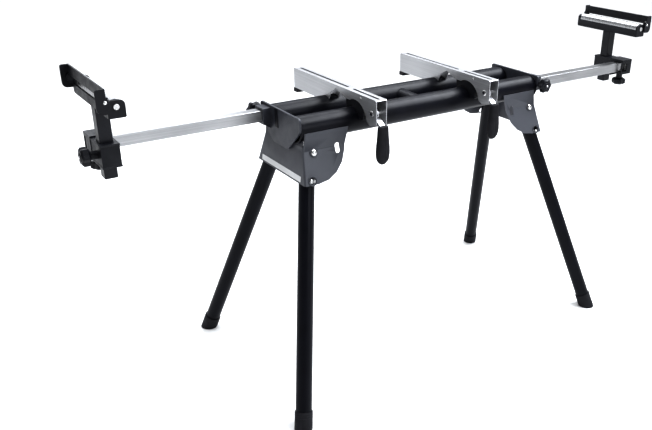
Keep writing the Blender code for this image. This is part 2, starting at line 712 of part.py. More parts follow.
# Knobs
def knob(name, point, axis, standoff, stud, end, finish_name="black_plastic"):
    """Lobed knob on a hub and a threaded stud; point is where the stud enters, axis points out of it."""
    count = KNOB_LOBES * KNOB_POINTS_PER_LOBE
    top = standoff + KNOB_THICKNESS
    sections = [(-stud, KNOB_STUD_RADIUS, 0), (SEAT_GAP, KNOB_STUD_RADIUS, 0), (SEAT_GAP, KNOB_HUB_RADIUS, 0),
                (standoff, KNOB_HUB_RADIUS, 0), (standoff, KNOB_RADIUS - KNOB_EDGE, KNOB_LOBE / 2),
                (standoff + KNOB_EDGE, KNOB_RADIUS, KNOB_LOBE), (top - KNOB_EDGE, KNOB_RADIUS, KNOB_LOBE),
                (top, KNOB_RADIUS - KNOB_EDGE, KNOB_LOBE / 2)]
    rings = []
    for height, radius, lobe in sections:
        ring = []
        for i in range(count):
            turn = 2 * HALF_TURN * i / count
            reach = radius + lobe * math.cos(turn * KNOB_LOBES)
            ring.append((reach * math.cos(turn), reach * math.sin(turn), height))
        rings.append(ring)
    piece = loft(name, rings)
    piece.data.transform(Vector(axis).to_track_quat("Z", "Y").to_matrix().to_4x4())
    piece.data.transform(Matrix.Translation(point))
    finish(piece, finish_name)
    return seat(piece, point, end)


# Arms
def arm(word, end):
    name = f"{word}_arm"
    low, high = ARM_Z - ARM_HALF, ARM_Z + ARM_HALF
    near, far = -RAIL_Y - ARM_HALF, -RAIL_Y + ARM_HALF
    outline = [(near, low, ARM_CORNER), (far, low, ARM_CORNER), (far, high, ARM_CORNER),
               (near, high, ARM_CORNER)]
    bar = prism(name, outline, ACROSS_X, ARM_INNER_X, ARM_OUTER_X)
    inset = ARM_WALL
    cut(bar, box(f"{name}_bore", (ARM_INNER_X - OVERRUN, near + inset, low + inset),
                 (ARM_OUTER_X + OVERRUN, far - inset, high - inset)))
    finish(bar, "aluminium")
    seat(bar, (RAIL_END, -RAIL_Y, ARM_Z), end)

    cap = prism(f"{name}_end_cap", outline, ACROSS_X, ARM_OUTER_X + SEAT_GAP, ARM_OUTER_X + ARM_CAP_LIP)
    inset = ARM_WALL + SEAT_GAP
    join(cap, box(f"{name}_end_cap_plug", (ARM_OUTER_X - ARM_PLUG, near + inset, low + inset),
                  (ARM_OUTER_X + ARM_CAP_LIP / 2, far - inset, high - inset)))
    finish(cap, "black_plastic")
    seat(cap, (ARM_OUTER_X, -RAIL_Y, ARM_Z), end, bar)

    front = ARM_INNER_X - GLIDE_END_WALL
    glide = cylinder(f"{name}_glide", (front, -RAIL_Y, RAIL_Z), (front + GLIDE_LENGTH, -RAIL_Y, RAIL_Z),
                     RAIL_BORE - SEAT_GAP)
    reach = ARM_HALF + SEAT_GAP
    cut(glide, box(f"{name}_glide_socket", (ARM_INNER_X - SEAT_GAP, -RAIL_Y - reach, ARM_Z - reach),
                   (front + GLIDE_LENGTH + OVERRUN, -RAIL_Y + reach, ARM_Z + reach)))
    finish(glide, "black_plastic")
    seat(glide, (ARM_INNER_X, -RAIL_Y, RAIL_Z), end, bar)

    face = -RAIL_Y - COLLAR_HALF
    knob(f"{name}_lock_knob", (COLLAR_MIDDLE, face, ARM_Z), (0, -1, 0), ARM_KNOB_STANDOFF,
         COLLAR_WALL - SEAT_GAP, end)


# Work supports
def carriage(word, end):
    """Block that slides on the arm: a socket for the arm and, beside it, a sleeve for the post."""
    name = f"{word}_carriage"
    start = CARRIAGE_END - SOCKET_LENGTH
    block = box(name, (start, -CARRIAGE_FRONT, CARRIAGE_BOTTOM),
                (CARRIAGE_END, -RAIL_Y + ARM_HALF + SOCKET_INNER_WALL, CARRIAGE_TOP))
    sleeve_low, sleeve_high = POST_X - SLEEVE_LENGTH_X / 2, POST_X + SLEEVE_LENGTH_X / 2
    sleeve_high = min(sleeve_high, CARRIAGE_END - CARRIAGE_CORNER)
    bevel(block, CARRIAGE_CORNER)
    sleeve_front = -RAIL_Y + ARM_HALF + SOCKET_INNER_WALL / 2
    sleeve = box(f"{name}_sleeve", (sleeve_low, sleeve_front, SLEEVE_TOP - SLEEVE_HEIGHT),
                 (sleeve_high, SLEEVE_BACK, SLEEVE_TOP))
    bevel(sleeve, CARRIAGE_CORNER)
    join(block, sleeve)
    reach = ARM_HALF + RUN_GAP
    cut(block, box(f"{name}_arm_bore", (start - OVERRUN, -RAIL_Y - ARM_HALF - SOCKET_SIDE_GAP, ARM_Z - reach),
                   (CARRIAGE_END + OVERRUN, -RAIL_Y + reach, ARM_Z + reach)))
    reach = POST_HALF + RUN_GAP
    cut(block, box(f"{name}_post_bore", (POST_X - reach, -reach, SLEEVE_TOP - SLEEVE_HEIGHT - OVERRUN),
                   (POST_X + reach, reach, SLEEVE_TOP + OVERRUN)))
    window = start + (SOCKET_LENGTH - WINDOW_LENGTH) / 2
    half, inside = WINDOW_HEIGHT / 2, -RAIL_Y - ARM_HALF - SOCKET_SIDE_GAP / 2
    cut(block, box(f"{name}_window", (window, -CARRIAGE_FRONT - OVERRUN, ARM_Z - half),
                   (window + WINDOW_LENGTH, inside, ARM_Z + half)))
    hole = KNOB_STUD_RADIUS + SEAT_GAP
    cut(block, cylinder(f"{name}_screw_hole", (POST_X, -RAIL_Y, CARRIAGE_BOTTOM - OVERRUN),
                        (POST_X, -RAIL_Y, ARM_Z), hole, SMALL_STEPS))
    knob_z = SLEEVE_TOP - SLEEVE_HEIGHT / 2
    cut(block, cylinder(f"{name}_lock_hole", (POST_X, 0, knob_z), (CARRIAGE_END + OVERRUN, 0, knob_z), hole,
                        SMALL_STEPS))
    finish(block, "black_plastic")
    seat(block, (POST_X, -RAIL_Y, ARM_Z), end)

    knob(f"{name}_lock_knob", (POST_X, -RAIL_Y, CARRIAGE_BOTTOM), (0, 0, -1), CARRIAGE_KNOB_STANDOFF,
         SOCKET_BOTTOM_WALL - SEAT_GAP, end)
    knob(f"{word}_post_lock_knob", (sleeve_high, 0, knob_z), (1, 0, 0), POST_KNOB_STANDOFF,
         sleeve_high - POST_X - POST_HALF - SEAT_GAP, end)


def post(word, end):
    name = f"{word}_post"
    column = box(name, (POST_X - POST_HALF, -POST_HALF, POST_BOTTOM_Z),
                 (POST_X + POST_HALF, POST_HALF, POST_TOP_Z))
    bevel(column, ARM_CORNER)
    inner = POST_HALF - POST_WALL
    cut(column, box(f"{name}_bore", (POST_X - inner, -inner, POST_BOTTOM_Z - OVERRUN),
                    (POST_X + inner, inner, POST_TOP_Z + OVERRUN)))
    finish(column, "dark_grey")
    return seat(column, (POST_X, 0, POST_TOP_Z), end)


def stop_pin():
    """Where the flip stop's pins stand, as x and z at the right end."""
    return POST_X + STOP_PIN_OUT, TRAY_BOTTOM + STOP_PIN_RISE


def tray(word, end, column):
    """Channel with an ear at each end; the ears hold the roller's axle and, on a lobe, the stop's pins."""
    name = f"{word}_tray"
    low, high, ear_top = TRAY_BOTTOM, TRAY_BOTTOM + TRAY_SIDE, TRAY_BOTTOM + EAR_HEIGHT
    near, far = POST_X - TRAY_HALF, POST_X + TRAY_HALF
    inside = HEAD_HALF - EAR_THICKNESS / 2
    channel = box(name, (near, -inside, low), (far, inside, high))
    cut(channel, box(f"{name}_hollow", (near + TRAY_WALL, -HEAD_HALF, low + TRAY_WALL),
                     (far - TRAY_WALL, HEAD_HALF, high + OVERRUN)))
    pin_x, pin_z = stop_pin()
    lobe, rounding = LOBE_RADIUS, LOBE_RADIUS * SLOT_ROUND_SHARE
    ear = [(near, low, EAR_FOOT_CORNER), (far, low, EAR_FOOT_CORNER), (far, pin_z - lobe * 2, 0),
           (pin_x + lobe, pin_z - lobe, rounding), (pin_x + lobe, pin_z + lobe, rounding),
           (pin_x - lobe, pin_z + lobe, 0), (far - TRAY_WALL, ear_top, 0), (near, ear_top, EAR_CORNER)]
    for end_word, start, stop in (("front", -HEAD_HALF, -HEAD_HALF + EAR_THICKNESS),
                                  ("back", HEAD_HALF - EAR_THICKNESS, HEAD_HALF)):
        join(channel, prism(f"{name}_{end_word}_ear", ear, ACROSS_Y, start, stop))
    reach = HEAD_HALF + OVERRUN
    cut(channel, cylinder(f"{name}_axle_holes", (POST_X, -reach, ROLLER_Z), (POST_X, reach, ROLLER_Z),
                          AXLE_RADIUS + SEAT_GAP, SMALL_STEPS))
    for end_word, start, stop in (("front", -reach, -inside), ("back", inside, reach)):
        cut(channel, cylinder(f"{name}_{end_word}_pin_hole", (pin_x, start, pin_z), (pin_x, stop, pin_z),
                              STOP_PIN_RADIUS + SEAT_GAP, SMALL_STEPS))
    finish(channel, "black_plastic")
    seat(channel, (POST_X, 0, TRAY_BOTTOM), end, column)


def roller(word, end):
    """Hollow roller with a hub in each end, running on an axle that the ears hold."""
    half = HEAD_HALF - EAR_THICKNESS - ROLLER_END_GAP
    hub = half - ROLLER_HUB
    bore, inner = AXLE_RADIUS + RUN_GAP / 4, ROLLER_RADIUS - ROLLER_WALL
    profile = [(bore, half), (ROLLER_RADIUS, half), (ROLLER_RADIUS, -half), (bore, -half), (bore, -hub),
               (inner, -hub), (inner, hub), (bore, hub), (bore, half)]
    drum = turned(f"{word}_roller", profile)
    finish(drum, "aluminium")
    turn = Matrix.Rotation(-QUARTER_TURN, 4, "X")
    drum.matrix_world = end @ Matrix.Translation((POST_X, 0, ROLLER_Z)) @ turn
    tip, head_end = HEAD_HALF + SEAT_GAP, HEAD_HALF + SEAT_GAP + AXLE_HEAD
    profile = [(0, head_end), (AXLE_HEAD_RADIUS, head_end), (AXLE_HEAD_RADIUS, tip), (AXLE_RADIUS, tip),
               (AXLE_RADIUS, -tip), (AXLE_HEAD_RADIUS, -tip), (AXLE_HEAD_RADIUS, -head_end), (0, -head_end)]
    axle = turned(f"{word}_roller_axle", profile, SMALL_STEPS)
    finish(axle, "bolt_steel")
    axle.matrix_world = end @ Matrix.Translation((POST_X, 0, ROLLER_Z)) @ turn


def flip_stop(word, end):
    """Stop plate ribbed towards the roller, with end plates that turn on pins in the tray's ears."""
    name = f"{word}_flip_stop"
    pin_x, pin_z = stop_pin()
    inner = POST_X + TRAY_HALF + STOP_GAP
    outer = inner + STOP_THICKNESS
    low, high = TRAY_BOTTOM + STOP_BOTTOM_RISE, TRAY_BOTTOM + STOP_TOP_RISE
    plate_in = HEAD_HALF + AXLE_HEAD + RUN_GAP * 2
    plate_out = plate_in + STOP_PLATE
    step = (high - low) / (STOP_RIBS * 2)
    outline = [(outer, low, 0), (outer, high, STOP_RIB), (inner, high, STOP_RIB)]
    for i in reversed(range(STOP_RIBS)):
        z = low + step * (2 * i + 1)
        outline += [(inner, z + step / 2, 0), (inner - STOP_RIB, z, 0), (inner, z - step / 2, 0)]
    outline.append((inner, low, 0))
    web = prism(name, outline, ACROSS_Y, -plate_out + SEAT_GAP, plate_out - SEAT_GAP)
    lobe = LOBE_RADIUS + STOP_NOTCH_GAP
    far = POST_X + STOP_PLATE_OUT
    bottom = pin_z - STOP_PLATE_DROP
    shield = [(pin_x - lobe, bottom, STOP_TOP_CORNER), (far, bottom, STOP_PLATE_CORNER),
              (far, high - SEAT_GAP, STOP_TOP_CORNER), (inner + SEAT_GAP, high - SEAT_GAP, 0),
              (inner + SEAT_GAP, pin_z + lobe, 0), (pin_x - lobe, pin_z, 0)]
    tip = HEAD_HALF - EAR_THICKNESS / 2 + SEAT_GAP
    for end_word, side in (("front", -1), ("back", 1)):
        start, stop = sorted((side * plate_in, side * plate_out))
        join(web, prism(f"{name}_{end_word}_plate", shield, ACROSS_Y, start, stop))
        middle = side * (plate_in + plate_out) / 2
        join(web, cylinder(f"{name}_{end_word}_pin", (pin_x, middle, pin_z), (pin_x, side * tip, pin_z),
                           STOP_PIN_RADIUS, SMALL_STEPS))
        start, stop = sorted((side * (HEAD_HALF - EAR_THICKNESS - RUN_GAP * 2), side * plate_in))
        cut(web, box(f"{name}_{end_word}_notch", (inner - OVERRUN, start, low - OVERRUN),
                     (outer + OVERRUN, stop, pin_z + lobe)))
    finish(web, "black_plastic")
    seat(web, (pin_x, 0, pin_z), end)


# Tool brackets
def bracket(number, x):
    """Inverted channel across the rails, notched over the rear rail and arched over the front one."""
    name = f"bracket_{number}"
    rail_y, rail_z = RAIL_Y, RAIL_Z
    seat_radius = RAIL_RADIUS + SEAT_GAP
    rear_z = BRACKET_TOP - BRACKET_REAR_DEPTH
    start = math.asin((rear_z - rail_z) / seat_radius)
    outline = [(-BRACKET_FRONT, BRACKET_TOP, BRACKET_CORNER),
               (-BRACKET_FRONT, BRACKET_TOP - BRACKET_NOSE_DEPTH, 0),
               (-BRACKET_CHIN_Y, BRACKET_TOP - BRACKET_CHIN_DEPTH, BRACKET_CORNER)]
    outline += arc((-ARCH_Y, BRACKET_TOP - ARCH_DROP), ARCH_RADIUS, ARCH_TO, ARCH_FROM)
    outline += [(-BRIDGE_FRONT_Y, BRACKET_TOP - BRIDGE_DEPTH, BRACKET_CORNER),
                (NOTCH_TOP_Y, BRACKET_TOP - NOTCH_TOP_DEPTH, BRACKET_CORNER),
                (NOTCH_BACK_Y, BRACKET_TOP - BRIDGE_DEPTH, 0)]
    outline += arc((rail_y, rail_z), seat_radius, SADDLE_TO, start)
    outline += [(BRACKET_BACK, rear_z, 0), (BRACKET_BACK, BRACKET_TOP, BRACKET_CORNER)]
    channel = prism(f"{name}_channel", outline, ACROSS_X, x - BRACKET_HALF, x + BRACKET_HALF)
    inner = BRACKET_HALF - BRACKET_WALL
    inside_top = BRACKET_TOP - BRACKET_WALL
    cut(channel, box(f"{name}_hollow", (x - inner, -BRACKET_FRONT - OVERRUN, RAIL_Z - OVERRUN),
                     (x + inner, BRACKET_BACK - BRACKET_WALL, inside_top)))
    for row, ends in (("front", FRONT_SLOT), ("rear", REAR_SLOT)):
        half = TOP_SLOT_HALF
        slot = [(x - half, ends[0], half * SLOT_ROUND_SHARE), (x + half, ends[0], half * SLOT_ROUND_SHARE),
                (x + half, ends[1], half * SLOT_ROUND_SHARE), (x - half, ends[1], half * SLOT_ROUND_SHARE)]
        cut(channel, prism(f"{name}_{row}_slot", slot, ACROSS_Z, inside_top - OVERRUN, BRACKET_TOP + OVERRUN))
    reach = BRACKET_HALF + OVERRUN
    cut(channel, cylinder(f"{name}_rivet_hole", (x - reach, -LEVER_Y, LEVER_Z),
                          (x + reach, -LEVER_Y, LEVER_Z), RIVET_RADIUS + SEAT_GAP, SMALL_STEPS))
    finish(channel, "zinc")
    seat(channel, (x, 0, BRACKET_TOP))

    pad_top, pad_low = rear_z - SEAT_GAP, rear_z - PAD_DEPTH
    pad_half = BRACKET_HALF + PAD_OVERHANG
    pad = box(f"{name}_rear_pad", (x - pad_half, PAD_FRONT_Y, pad_low),
              (x + pad_half, BRACKET_BACK + PAD_OVERHANG, pad_top))
    bevel(pad, PAD_OVERHANG, 2)
    plug_half, inset = inner - SEAT_GAP, PAD_OVERHANG * 2
    join(pad, box(f"{name}_rear_pad_plug", (x - plug_half, PAD_FRONT_Y + inset, pad_low + inset),
                  (x + plug_half, BRACKET_BACK - BRACKET_WALL - SEAT_GAP, pad_top + PAD_PLUG)))
    finish(pad, "rubber")
    seat(pad, (x, BRACKET_BACK, rear_z))


def jaw(number, x):
    """Clamp block inside the front arch: it saddles the front rail, and its nose meets the lever's cam."""
    name = f"bracket_{number}_jaw"
    half = BRACKET_HALF - BRACKET_WALL - SEAT_GAP
    top = BRACKET_TOP - BRACKET_WALL - SEAT_GAP
    lip_z = RAIL_TOP_Z - JAW_LIP_DROP
    nose_y = -LEVER_Y + LEVER_CAM_RADIUS + SEAT_GAP
    rise = (JAW_NOSE_BOTTOM - lip_z) / (JAW_RIBS * 2 + 1)
    outline = [(-JAW_BACK, top, 0), (-JAW_FRONT, top, 0), (-JAW_FRONT, JAW_NOSE_TOP, 0),
               (nose_y, JAW_NOSE_TOP, 0), (nose_y, JAW_NOSE_BOTTOM, 0), (-JAW_FRONT, JAW_NOSE_BOTTOM, 0)]
    for i in range(JAW_RIBS):
        z = JAW_NOSE_BOTTOM - rise * (2 * i + 1)
        outline += [(-JAW_FRONT, z, 0), (-JAW_FRONT - JAW_RIB, z - rise / 2, 0), (-JAW_FRONT, z - rise, 0)]
    outline.append((-JAW_FRONT, lip_z, 0))
    outline += arc((-RAIL_Y, RAIL_Z), RAIL_RADIUS + SEAT_GAP, JAW_TO, JAW_FROM)
    block = prism(name, outline, ACROSS_X, x - half, x + half)
    finish(block, "black_plastic")
    seat(block, (x, -RAIL_Y, RAIL_Z))


def lever(number, x):
    """Flat lever on its rivet, with a cam disc above and a moulded grip below."""
    name = f"bracket_{number}_lever"
    pivot = Vector((x, -LEVER_Y, LEVER_Z))
    elbow = Vector((-LEVER_ELBOW_Y, BRACKET_TOP - LEVER_ELBOW_DROP))
    tip_z = BRACKET_TOP - LEVER_TONGUE_DROP
    half = LEVER_WIDTH / 2
    outline = arc((-LEVER_Y, LEVER_Z), LEVER_CAM_RADIUS, -QUARTER_TURN / 2, HALF_TURN)
    outline += [(elbow.x - half, elbow.y, half), (elbow.x - half, tip_z, 0), (elbow.x + half, tip_z, 0),
                (elbow.x + half, elbow.y - half, half)]
    bar = prism(f"{name}_bar", outline, ACROSS_X, x - LEVER_HALF, x + LEVER_HALF)
    cut(bar, cylinder(f"{name}_bore", (x - LEVER_HALF - OVERRUN, -LEVER_Y, LEVER_Z),
                      (x + LEVER_HALF + OVERRUN, -LEVER_Y, LEVER_Z), RIVET_RADIUS + RUN_GAP / 2, SMALL_STEPS))
    finish(bar, "zinc")
    seat(bar, pivot)

    top = BRACKET_TOP - GRIP_TOP_DROP
    rings = []
    for along, wide in GRIP_WIDTH_SHARES:
        ring = []
        for i in range(GRIP_POINTS):
            turn = 2 * HALF_TURN * i / GRIP_POINTS
            power = 2 / GRIP_SQUARENESS
            u = math.copysign(abs(math.cos(turn)) ** power, math.cos(turn))
            v = math.copysign(abs(math.sin(turn)) ** power, math.sin(turn))
            ring.append((x + GRIP_HALF_WIDTH * wide * u, elbow.x + GRIP_HALF_DEPTH * wide * v,
                         top - GRIP_LENGTH * along))
        rings.append(ring)
    grip = loft(f"{name}_grip", rings)
    reach = half + SEAT_GAP
    thick = LEVER_HALF + SEAT_GAP
    cut(grip, box(f"{name}_pocket", (x - thick, elbow.x - reach, tip_z - SEAT_GAP),
                  (x + thick, elbow.x + reach, top + OVERRUN)))
    finish(grip, "rubber")
    seat(grip, pivot, RIGHT_END, bar)

    ends = BRACKET_HALF + SEAT_GAP
    top_half = [(0, ends + RIVET_HEAD), (RIVET_HEAD_RADIUS / 2, ends + RIVET_HEAD),
                (RIVET_HEAD_RADIUS, ends + RIVET_HEAD / 3), (RIVET_HEAD_RADIUS, ends), (RIVET_RADIUS, ends)]
    profile = top_half + [(radius, -z) for radius, z in reversed(top_half)]
    rivet = turned(f"bracket_{number}_rivet", profile, SMALL_STEPS)
    finish(rivet, "bolt_steel")
    rivet.matrix_world = Matrix.Translation(pivot) @ Matrix.Rotation(QUARTER_TURN, 4, "Y")


rails()
cross_tube()
for end_word, end_side, end_matrix in ENDS:
    end_plate(end_word, end_matrix)
    housing(end_word, end_side, end_matrix)
    for y_word, y_side in (("front", -1), ("rear", 1)):
        leg(f"{end_word}_{y_word}", end_side, y_side)
    arm(end_word, end_matrix)
    carriage(end_word, end_matrix)
    tray(end_word, end_matrix, post(end_word, end_matrix))
    roller(end_word, end_matrix)
    flip_stop(end_word, end_matrix)
for bracket_number, bracket_x in ((1, BRACKET_1_X), (2, BRACKET_2_X)):
    bracket(bracket_number, bracket_x)
    jaw(bracket_number, bracket_x)
    lever(bracket_number, bracket_x)
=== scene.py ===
"""Looks of the folding miter saw stand: materials, small fittings, floor, light and camera.

Metres, +Z up. X runs along the rails, the right end is +X and the front is -Y. What belongs to an
end is placed for the right end, and the left end has the same turned half round.
"""
import math

import bmesh
import bpy
from mathutils import Matrix, Vector


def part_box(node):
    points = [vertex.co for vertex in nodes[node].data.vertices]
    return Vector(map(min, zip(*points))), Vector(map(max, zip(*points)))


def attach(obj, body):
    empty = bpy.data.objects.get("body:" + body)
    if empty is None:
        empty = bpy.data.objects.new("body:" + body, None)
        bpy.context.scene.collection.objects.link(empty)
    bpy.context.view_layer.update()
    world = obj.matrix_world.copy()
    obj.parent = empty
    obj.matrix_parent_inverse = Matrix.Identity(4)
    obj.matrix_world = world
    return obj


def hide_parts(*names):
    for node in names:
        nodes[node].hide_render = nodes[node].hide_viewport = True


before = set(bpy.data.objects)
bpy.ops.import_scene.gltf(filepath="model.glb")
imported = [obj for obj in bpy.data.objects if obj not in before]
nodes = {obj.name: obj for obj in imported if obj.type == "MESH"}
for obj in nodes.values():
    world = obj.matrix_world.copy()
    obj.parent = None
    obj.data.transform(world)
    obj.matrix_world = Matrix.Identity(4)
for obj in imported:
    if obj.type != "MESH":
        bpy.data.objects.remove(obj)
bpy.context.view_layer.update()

FULL_TURN = 2 * math.pi
QUARTER_TURN = math.pi / 2
ENDS = (("right", 1), ("left", -1))
ROWS = (("front", -1), ("rear", 1))
BRACKETS = ((1, -0.227), (2, 0.159))

# Main sizes, as in the CAD
RAIL_Y, RAIL_Z, RAIL_RADIUS, RAIL_END = 0.067, 0.7265, 0.0335, 0.4165
CROSS_RADIUS = 0.0235
ARM_Z, ARM_HALF = 0.736, 0.01475
COLLAR_MIDDLE, COLLAR_HALF = 0.43455, 0.02175
END_FACE = 0.4228
PIVOT = Vector((0.3861, 0.0738, 0.660))
LEG_OUT_X, LEG_OUT_Y = 0.2475, 0.3427
LEG_NEST = {"left": math.radians(-3.3), "right": math.radians(4.75)}
PLATE_DISTANCE = 0.0324
LATCH_DROP = 0.073
HOUSING_TOP_Z, HOUSING_TOP_X, HOUSING_LEAN = 0.7225, 0.4085, 0.140
POST_X, POST_HALF = 0.863, 0.015
CARRIAGE_BOTTOM = 0.71325
KNOB_THICKNESS = 0.020
STOP_PIN_X, STOP_PIN_Z = 0.886, 0.8825
LEVER_Y, LEVER_Z, LEVER_ELBOW_Y = 0.161, 0.764, 0.188
GRIP_TOP_Z, GRIP_LENGTH = 0.736, 0.103

# How finely round forms are cut
STEPS, SMALL_STEPS = 40, 24


# Mesh helpers
def circle(steps):
    """Cosine and sine of equal steps round a full turn."""
    turns = [FULL_TURN * i / steps for i in range(steps)]
    return [(math.cos(turn), math.sin(turn)) for turn in turns]


def finished_mesh(name, bm):
    """Mesh from bm with its faces turned outwards; bm is freed."""
    bmesh.ops.recalc_face_normals(bm, faces=bm.faces)
    mesh = bpy.data.meshes.new(name)
    bm.to_mesh(mesh)
    bm.free()
    return mesh


def new_object(name, data):
    """Object with its data, linked to the scene."""
    obj = bpy.data.objects.new(name, data)
    bpy.context.scene.collection.objects.link(obj)
    return obj


def new_piece(name, bm, material, body, smooth=True):
    """Finished mesh piece from bm, with its material, riding on a body."""
    mesh = finished_mesh(name, bm)
    if smooth:
        mesh.shade_smooth()
    piece = new_object(name, mesh)
    mesh.materials.append(material)
    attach(piece, body)
    return piece


def skin(bm, low, high):
    """Faces between two closed rows of as many vertices."""
    count = len(low)
    for i in range(count):
        k = (i + 1) % count
        bm.faces.new((low[i], low[k], high[k], high[i]))


def loft(bm, rings):
    """Faces between rings that follow one another, closed at both ends."""
    for low, high in zip(rings, rings[1:]):
        skin(bm, low, high)
    bm.faces.new(rings[0])
    bm.faces.new(rings[-1])


def frame_of(origin, up):
    """Matrix at origin whose Z points along up."""
    return Matrix.Translation(origin) @ Vector(up).to_track_quat("Z", "Y").to_matrix().to_4x4()


def turned(name, origin, up, profile, material, body, steps=STEPS):
    """Lathe piece: profile lists (radius, height) from the axis or round a ring, along up."""
    bm = bmesh.new()
    rings = []
    for radius, height in profile:
        if radius == 0:
            rings.append([bm.verts.new((0, 0, height))])
            continue
        rings.append([bm.verts.new((radius * c, radius * s, height)) for c, s in circle(steps)])
    closed = profile[0][0] != 0
    pairs = list(zip(rings, rings[1:])) + ([(rings[-1], rings[0])] if closed else [])
    for low, high in pairs:
        for i in range(steps):
            corners = [low[i % len(low)], low[(i + 1) % len(low)],
                       high[(i + 1) % len(high)], high[i % len(high)]]
            unique = list(dict.fromkeys(corners))
            if len(unique) > 2:
                bm.faces.new(unique)
    bm.transform(frame_of(origin, up))
    return new_piece(name, bm, material, body)


BEAD_RADIUS, BEAD_RIPPLE, BEAD_SIDES = 0.0020, 0.18, 8


def bead(name, points, material, body):
    """Closed weld bead: a tube through points that swells and shrinks like laid ripples."""
    bm = bmesh.new()
    count = len(points)
    rings = []
    for i, point in enumerate(points):
        matrix = frame_of(point, (points[(i + 1) % count] - points[i - 1]).normalized())
        size = BEAD_RADIUS * (1 + BEAD_RIPPLE * (1 if i % 2 else -1))
        rings.append([bm.verts.new(matrix @ Vector((size * c, size * s, 0)))
                      for c, s in circle(BEAD_SIDES)])
    for i in range(count):
        low, high = rings[i], rings[(i + 1) % count]
        shift = min(range(BEAD_SIDES), key=lambda k: (low[0].co - high[k].co).length)
        skin(bm, low, high[shift:] + high[:shift])
    return new_piece(name, bm, material, body)


def end_point(side, x, y, z):
    """A point given for the right end, at either end."""
    return Vector((side * x, side * y, z))


def to_end(obj, side):
    """Turns the mesh of a piece made for the right end to its own end."""
    if side < 0:
        obj.data.transform(Matrix.Rotation(math.pi, 4, "Z"))


# Materials: how the noise textures are spread over them
CLOUD_SCALE, CLOUD_DETAIL, CLOUD_LOW, CLOUD_HIGH = 14, 4.0, 0.35, 0.68
GLOSS_SCALE, GRAIN_DETAIL, GRAIN_DEPTH = 45, 2.0, 0.0005
WEAR_START, WEAR_FULL, WEAR_SHARE = 0.52, 0.60, 0.5
STREAK_SCALE, STREAK_DETAIL, STREAK_DEPTH = 1.0, 5.0, 0.0002
METAL_CLOUD_SCALE, METAL_CLOUD_DETAIL, METAL_CLOUD_SHARE = 9, 2.0, 0.35
METAL_LOW, METAL_HIGH = 0.36, 0.64
NOISE_LOW, NOISE_HIGH = 0.3, 0.7


def shader(name, roughness, metallic=0.0, specular=0.5):
    """New material with its node tree, shader and object coordinates."""
    material = bpy.data.materials.new(name)
    material.use_nodes = True
    tree = material.node_tree
    surface = tree.nodes["Principled BSDF"]
    surface.inputs["Metallic"].default_value = metallic
    surface.inputs["Roughness"].default_value = roughness
    surface.inputs["Specular IOR Level"].default_value = specular
    place = tree.nodes.new("ShaderNodeTexCoord")
    return material, tree, surface, place.outputs["Object"]


def noise(tree, place, scale, stretch=(1, 1, 1), detail=3.0):
    """Noise on object coordinates, stretched along the axes."""
    mapping = tree.nodes.new("ShaderNodeMapping")
    mapping.inputs["Scale"].default_value = stretch
    tree.links.new(place, mapping.inputs["Vector"])
    texture = tree.nodes.new("ShaderNodeTexNoise")
    texture.inputs["Scale"].default_value = scale
    texture.inputs["Detail"].default_value = detail
    tree.links.new(mapping.outputs["Vector"], texture.inputs["Vector"])
    return texture.outputs["Fac"]


def ramp(tree, value, stops):
    """Colour ramp from (position, grey or colour) stops."""
    node = tree.nodes.new("ShaderNodeValToRGB")
    elements = node.color_ramp.elements
    while len(elements) < len(stops):
        elements.new(0.5)
    for element, (position, colour) in zip(elements, stops):
        element.position = position
        element.color = (*colour, 1) if isinstance(colour, tuple) else (colour, colour, colour, 1)
    tree.links.new(value, node.inputs["Fac"])
    return node.outputs["Color"]


def spread(tree, value, low, high):
    """The noise's usual range mapped to low..high."""
    node = tree.nodes.new("ShaderNodeMapRange")
    node.inputs["From Min"].default_value = NOISE_LOW
    node.inputs["From Max"].default_value = NOISE_HIGH
    node.inputs["To Min"].default_value = low
    node.inputs["To Max"].default_value = high
    tree.links.new(value, node.inputs["Value"])
    return node.outputs["Result"]


def bump(tree, surface, value, strength, distance):
    """Surface relief that follows value."""
    node = tree.nodes.new("ShaderNodeBump")
    node.inputs["Strength"].default_value = strength
    node.inputs["Distance"].default_value = distance
    tree.links.new(value, node.inputs["Height"])
    tree.links.new(node.outputs["Normal"], surface.inputs["Normal"])


def edge_wear(tree, colour, worn):
    """colour, lightened towards worn on outer edges."""
    geometry = tree.nodes.new("ShaderNodeNewGeometry")
    edges = ramp(tree, geometry.outputs["Pointiness"], ((WEAR_START, 0.0), (WEAR_FULL, WEAR_SHARE)))
    mix = tree.nodes.new("ShaderNodeMix")
    mix.data_type = "RGBA"
    tree.links.new(edges, mix.inputs["Factor"])
    tree.links.new(colour, mix.inputs["A"])
    mix.inputs["B"].default_value = (*worn, 1)
    return mix.outputs["Result"]


def paint(name, dark, light, worn, gloss, grain, relief, specular=0.5):
    """Paint or plastic: cloudy colour, uneven gloss, fine surface grain and worn edges.

    gloss is the range of the roughness, grain the scale of the surface's relief.
    """
    material, tree, surface, place = shader(name, sum(gloss) / 2, specular=specular)
    cloud = noise(tree, place, CLOUD_SCALE, detail=CLOUD_DETAIL)
    fine = noise(tree, place, grain, detail=GRAIN_DETAIL)
    colour = ramp(tree, cloud, ((CLOUD_LOW, dark), (CLOUD_HIGH, light)))
    tree.links.new(edge_wear(tree, colour, worn), surface.inputs["Base Color"])
    patches = noise(tree, place, GLOSS_SCALE)
    tree.links.new(spread(tree, patches, *gloss), surface.inputs["Roughness"])
    bump(tree, surface, fine, relief, GRAIN_DEPTH)
    return material


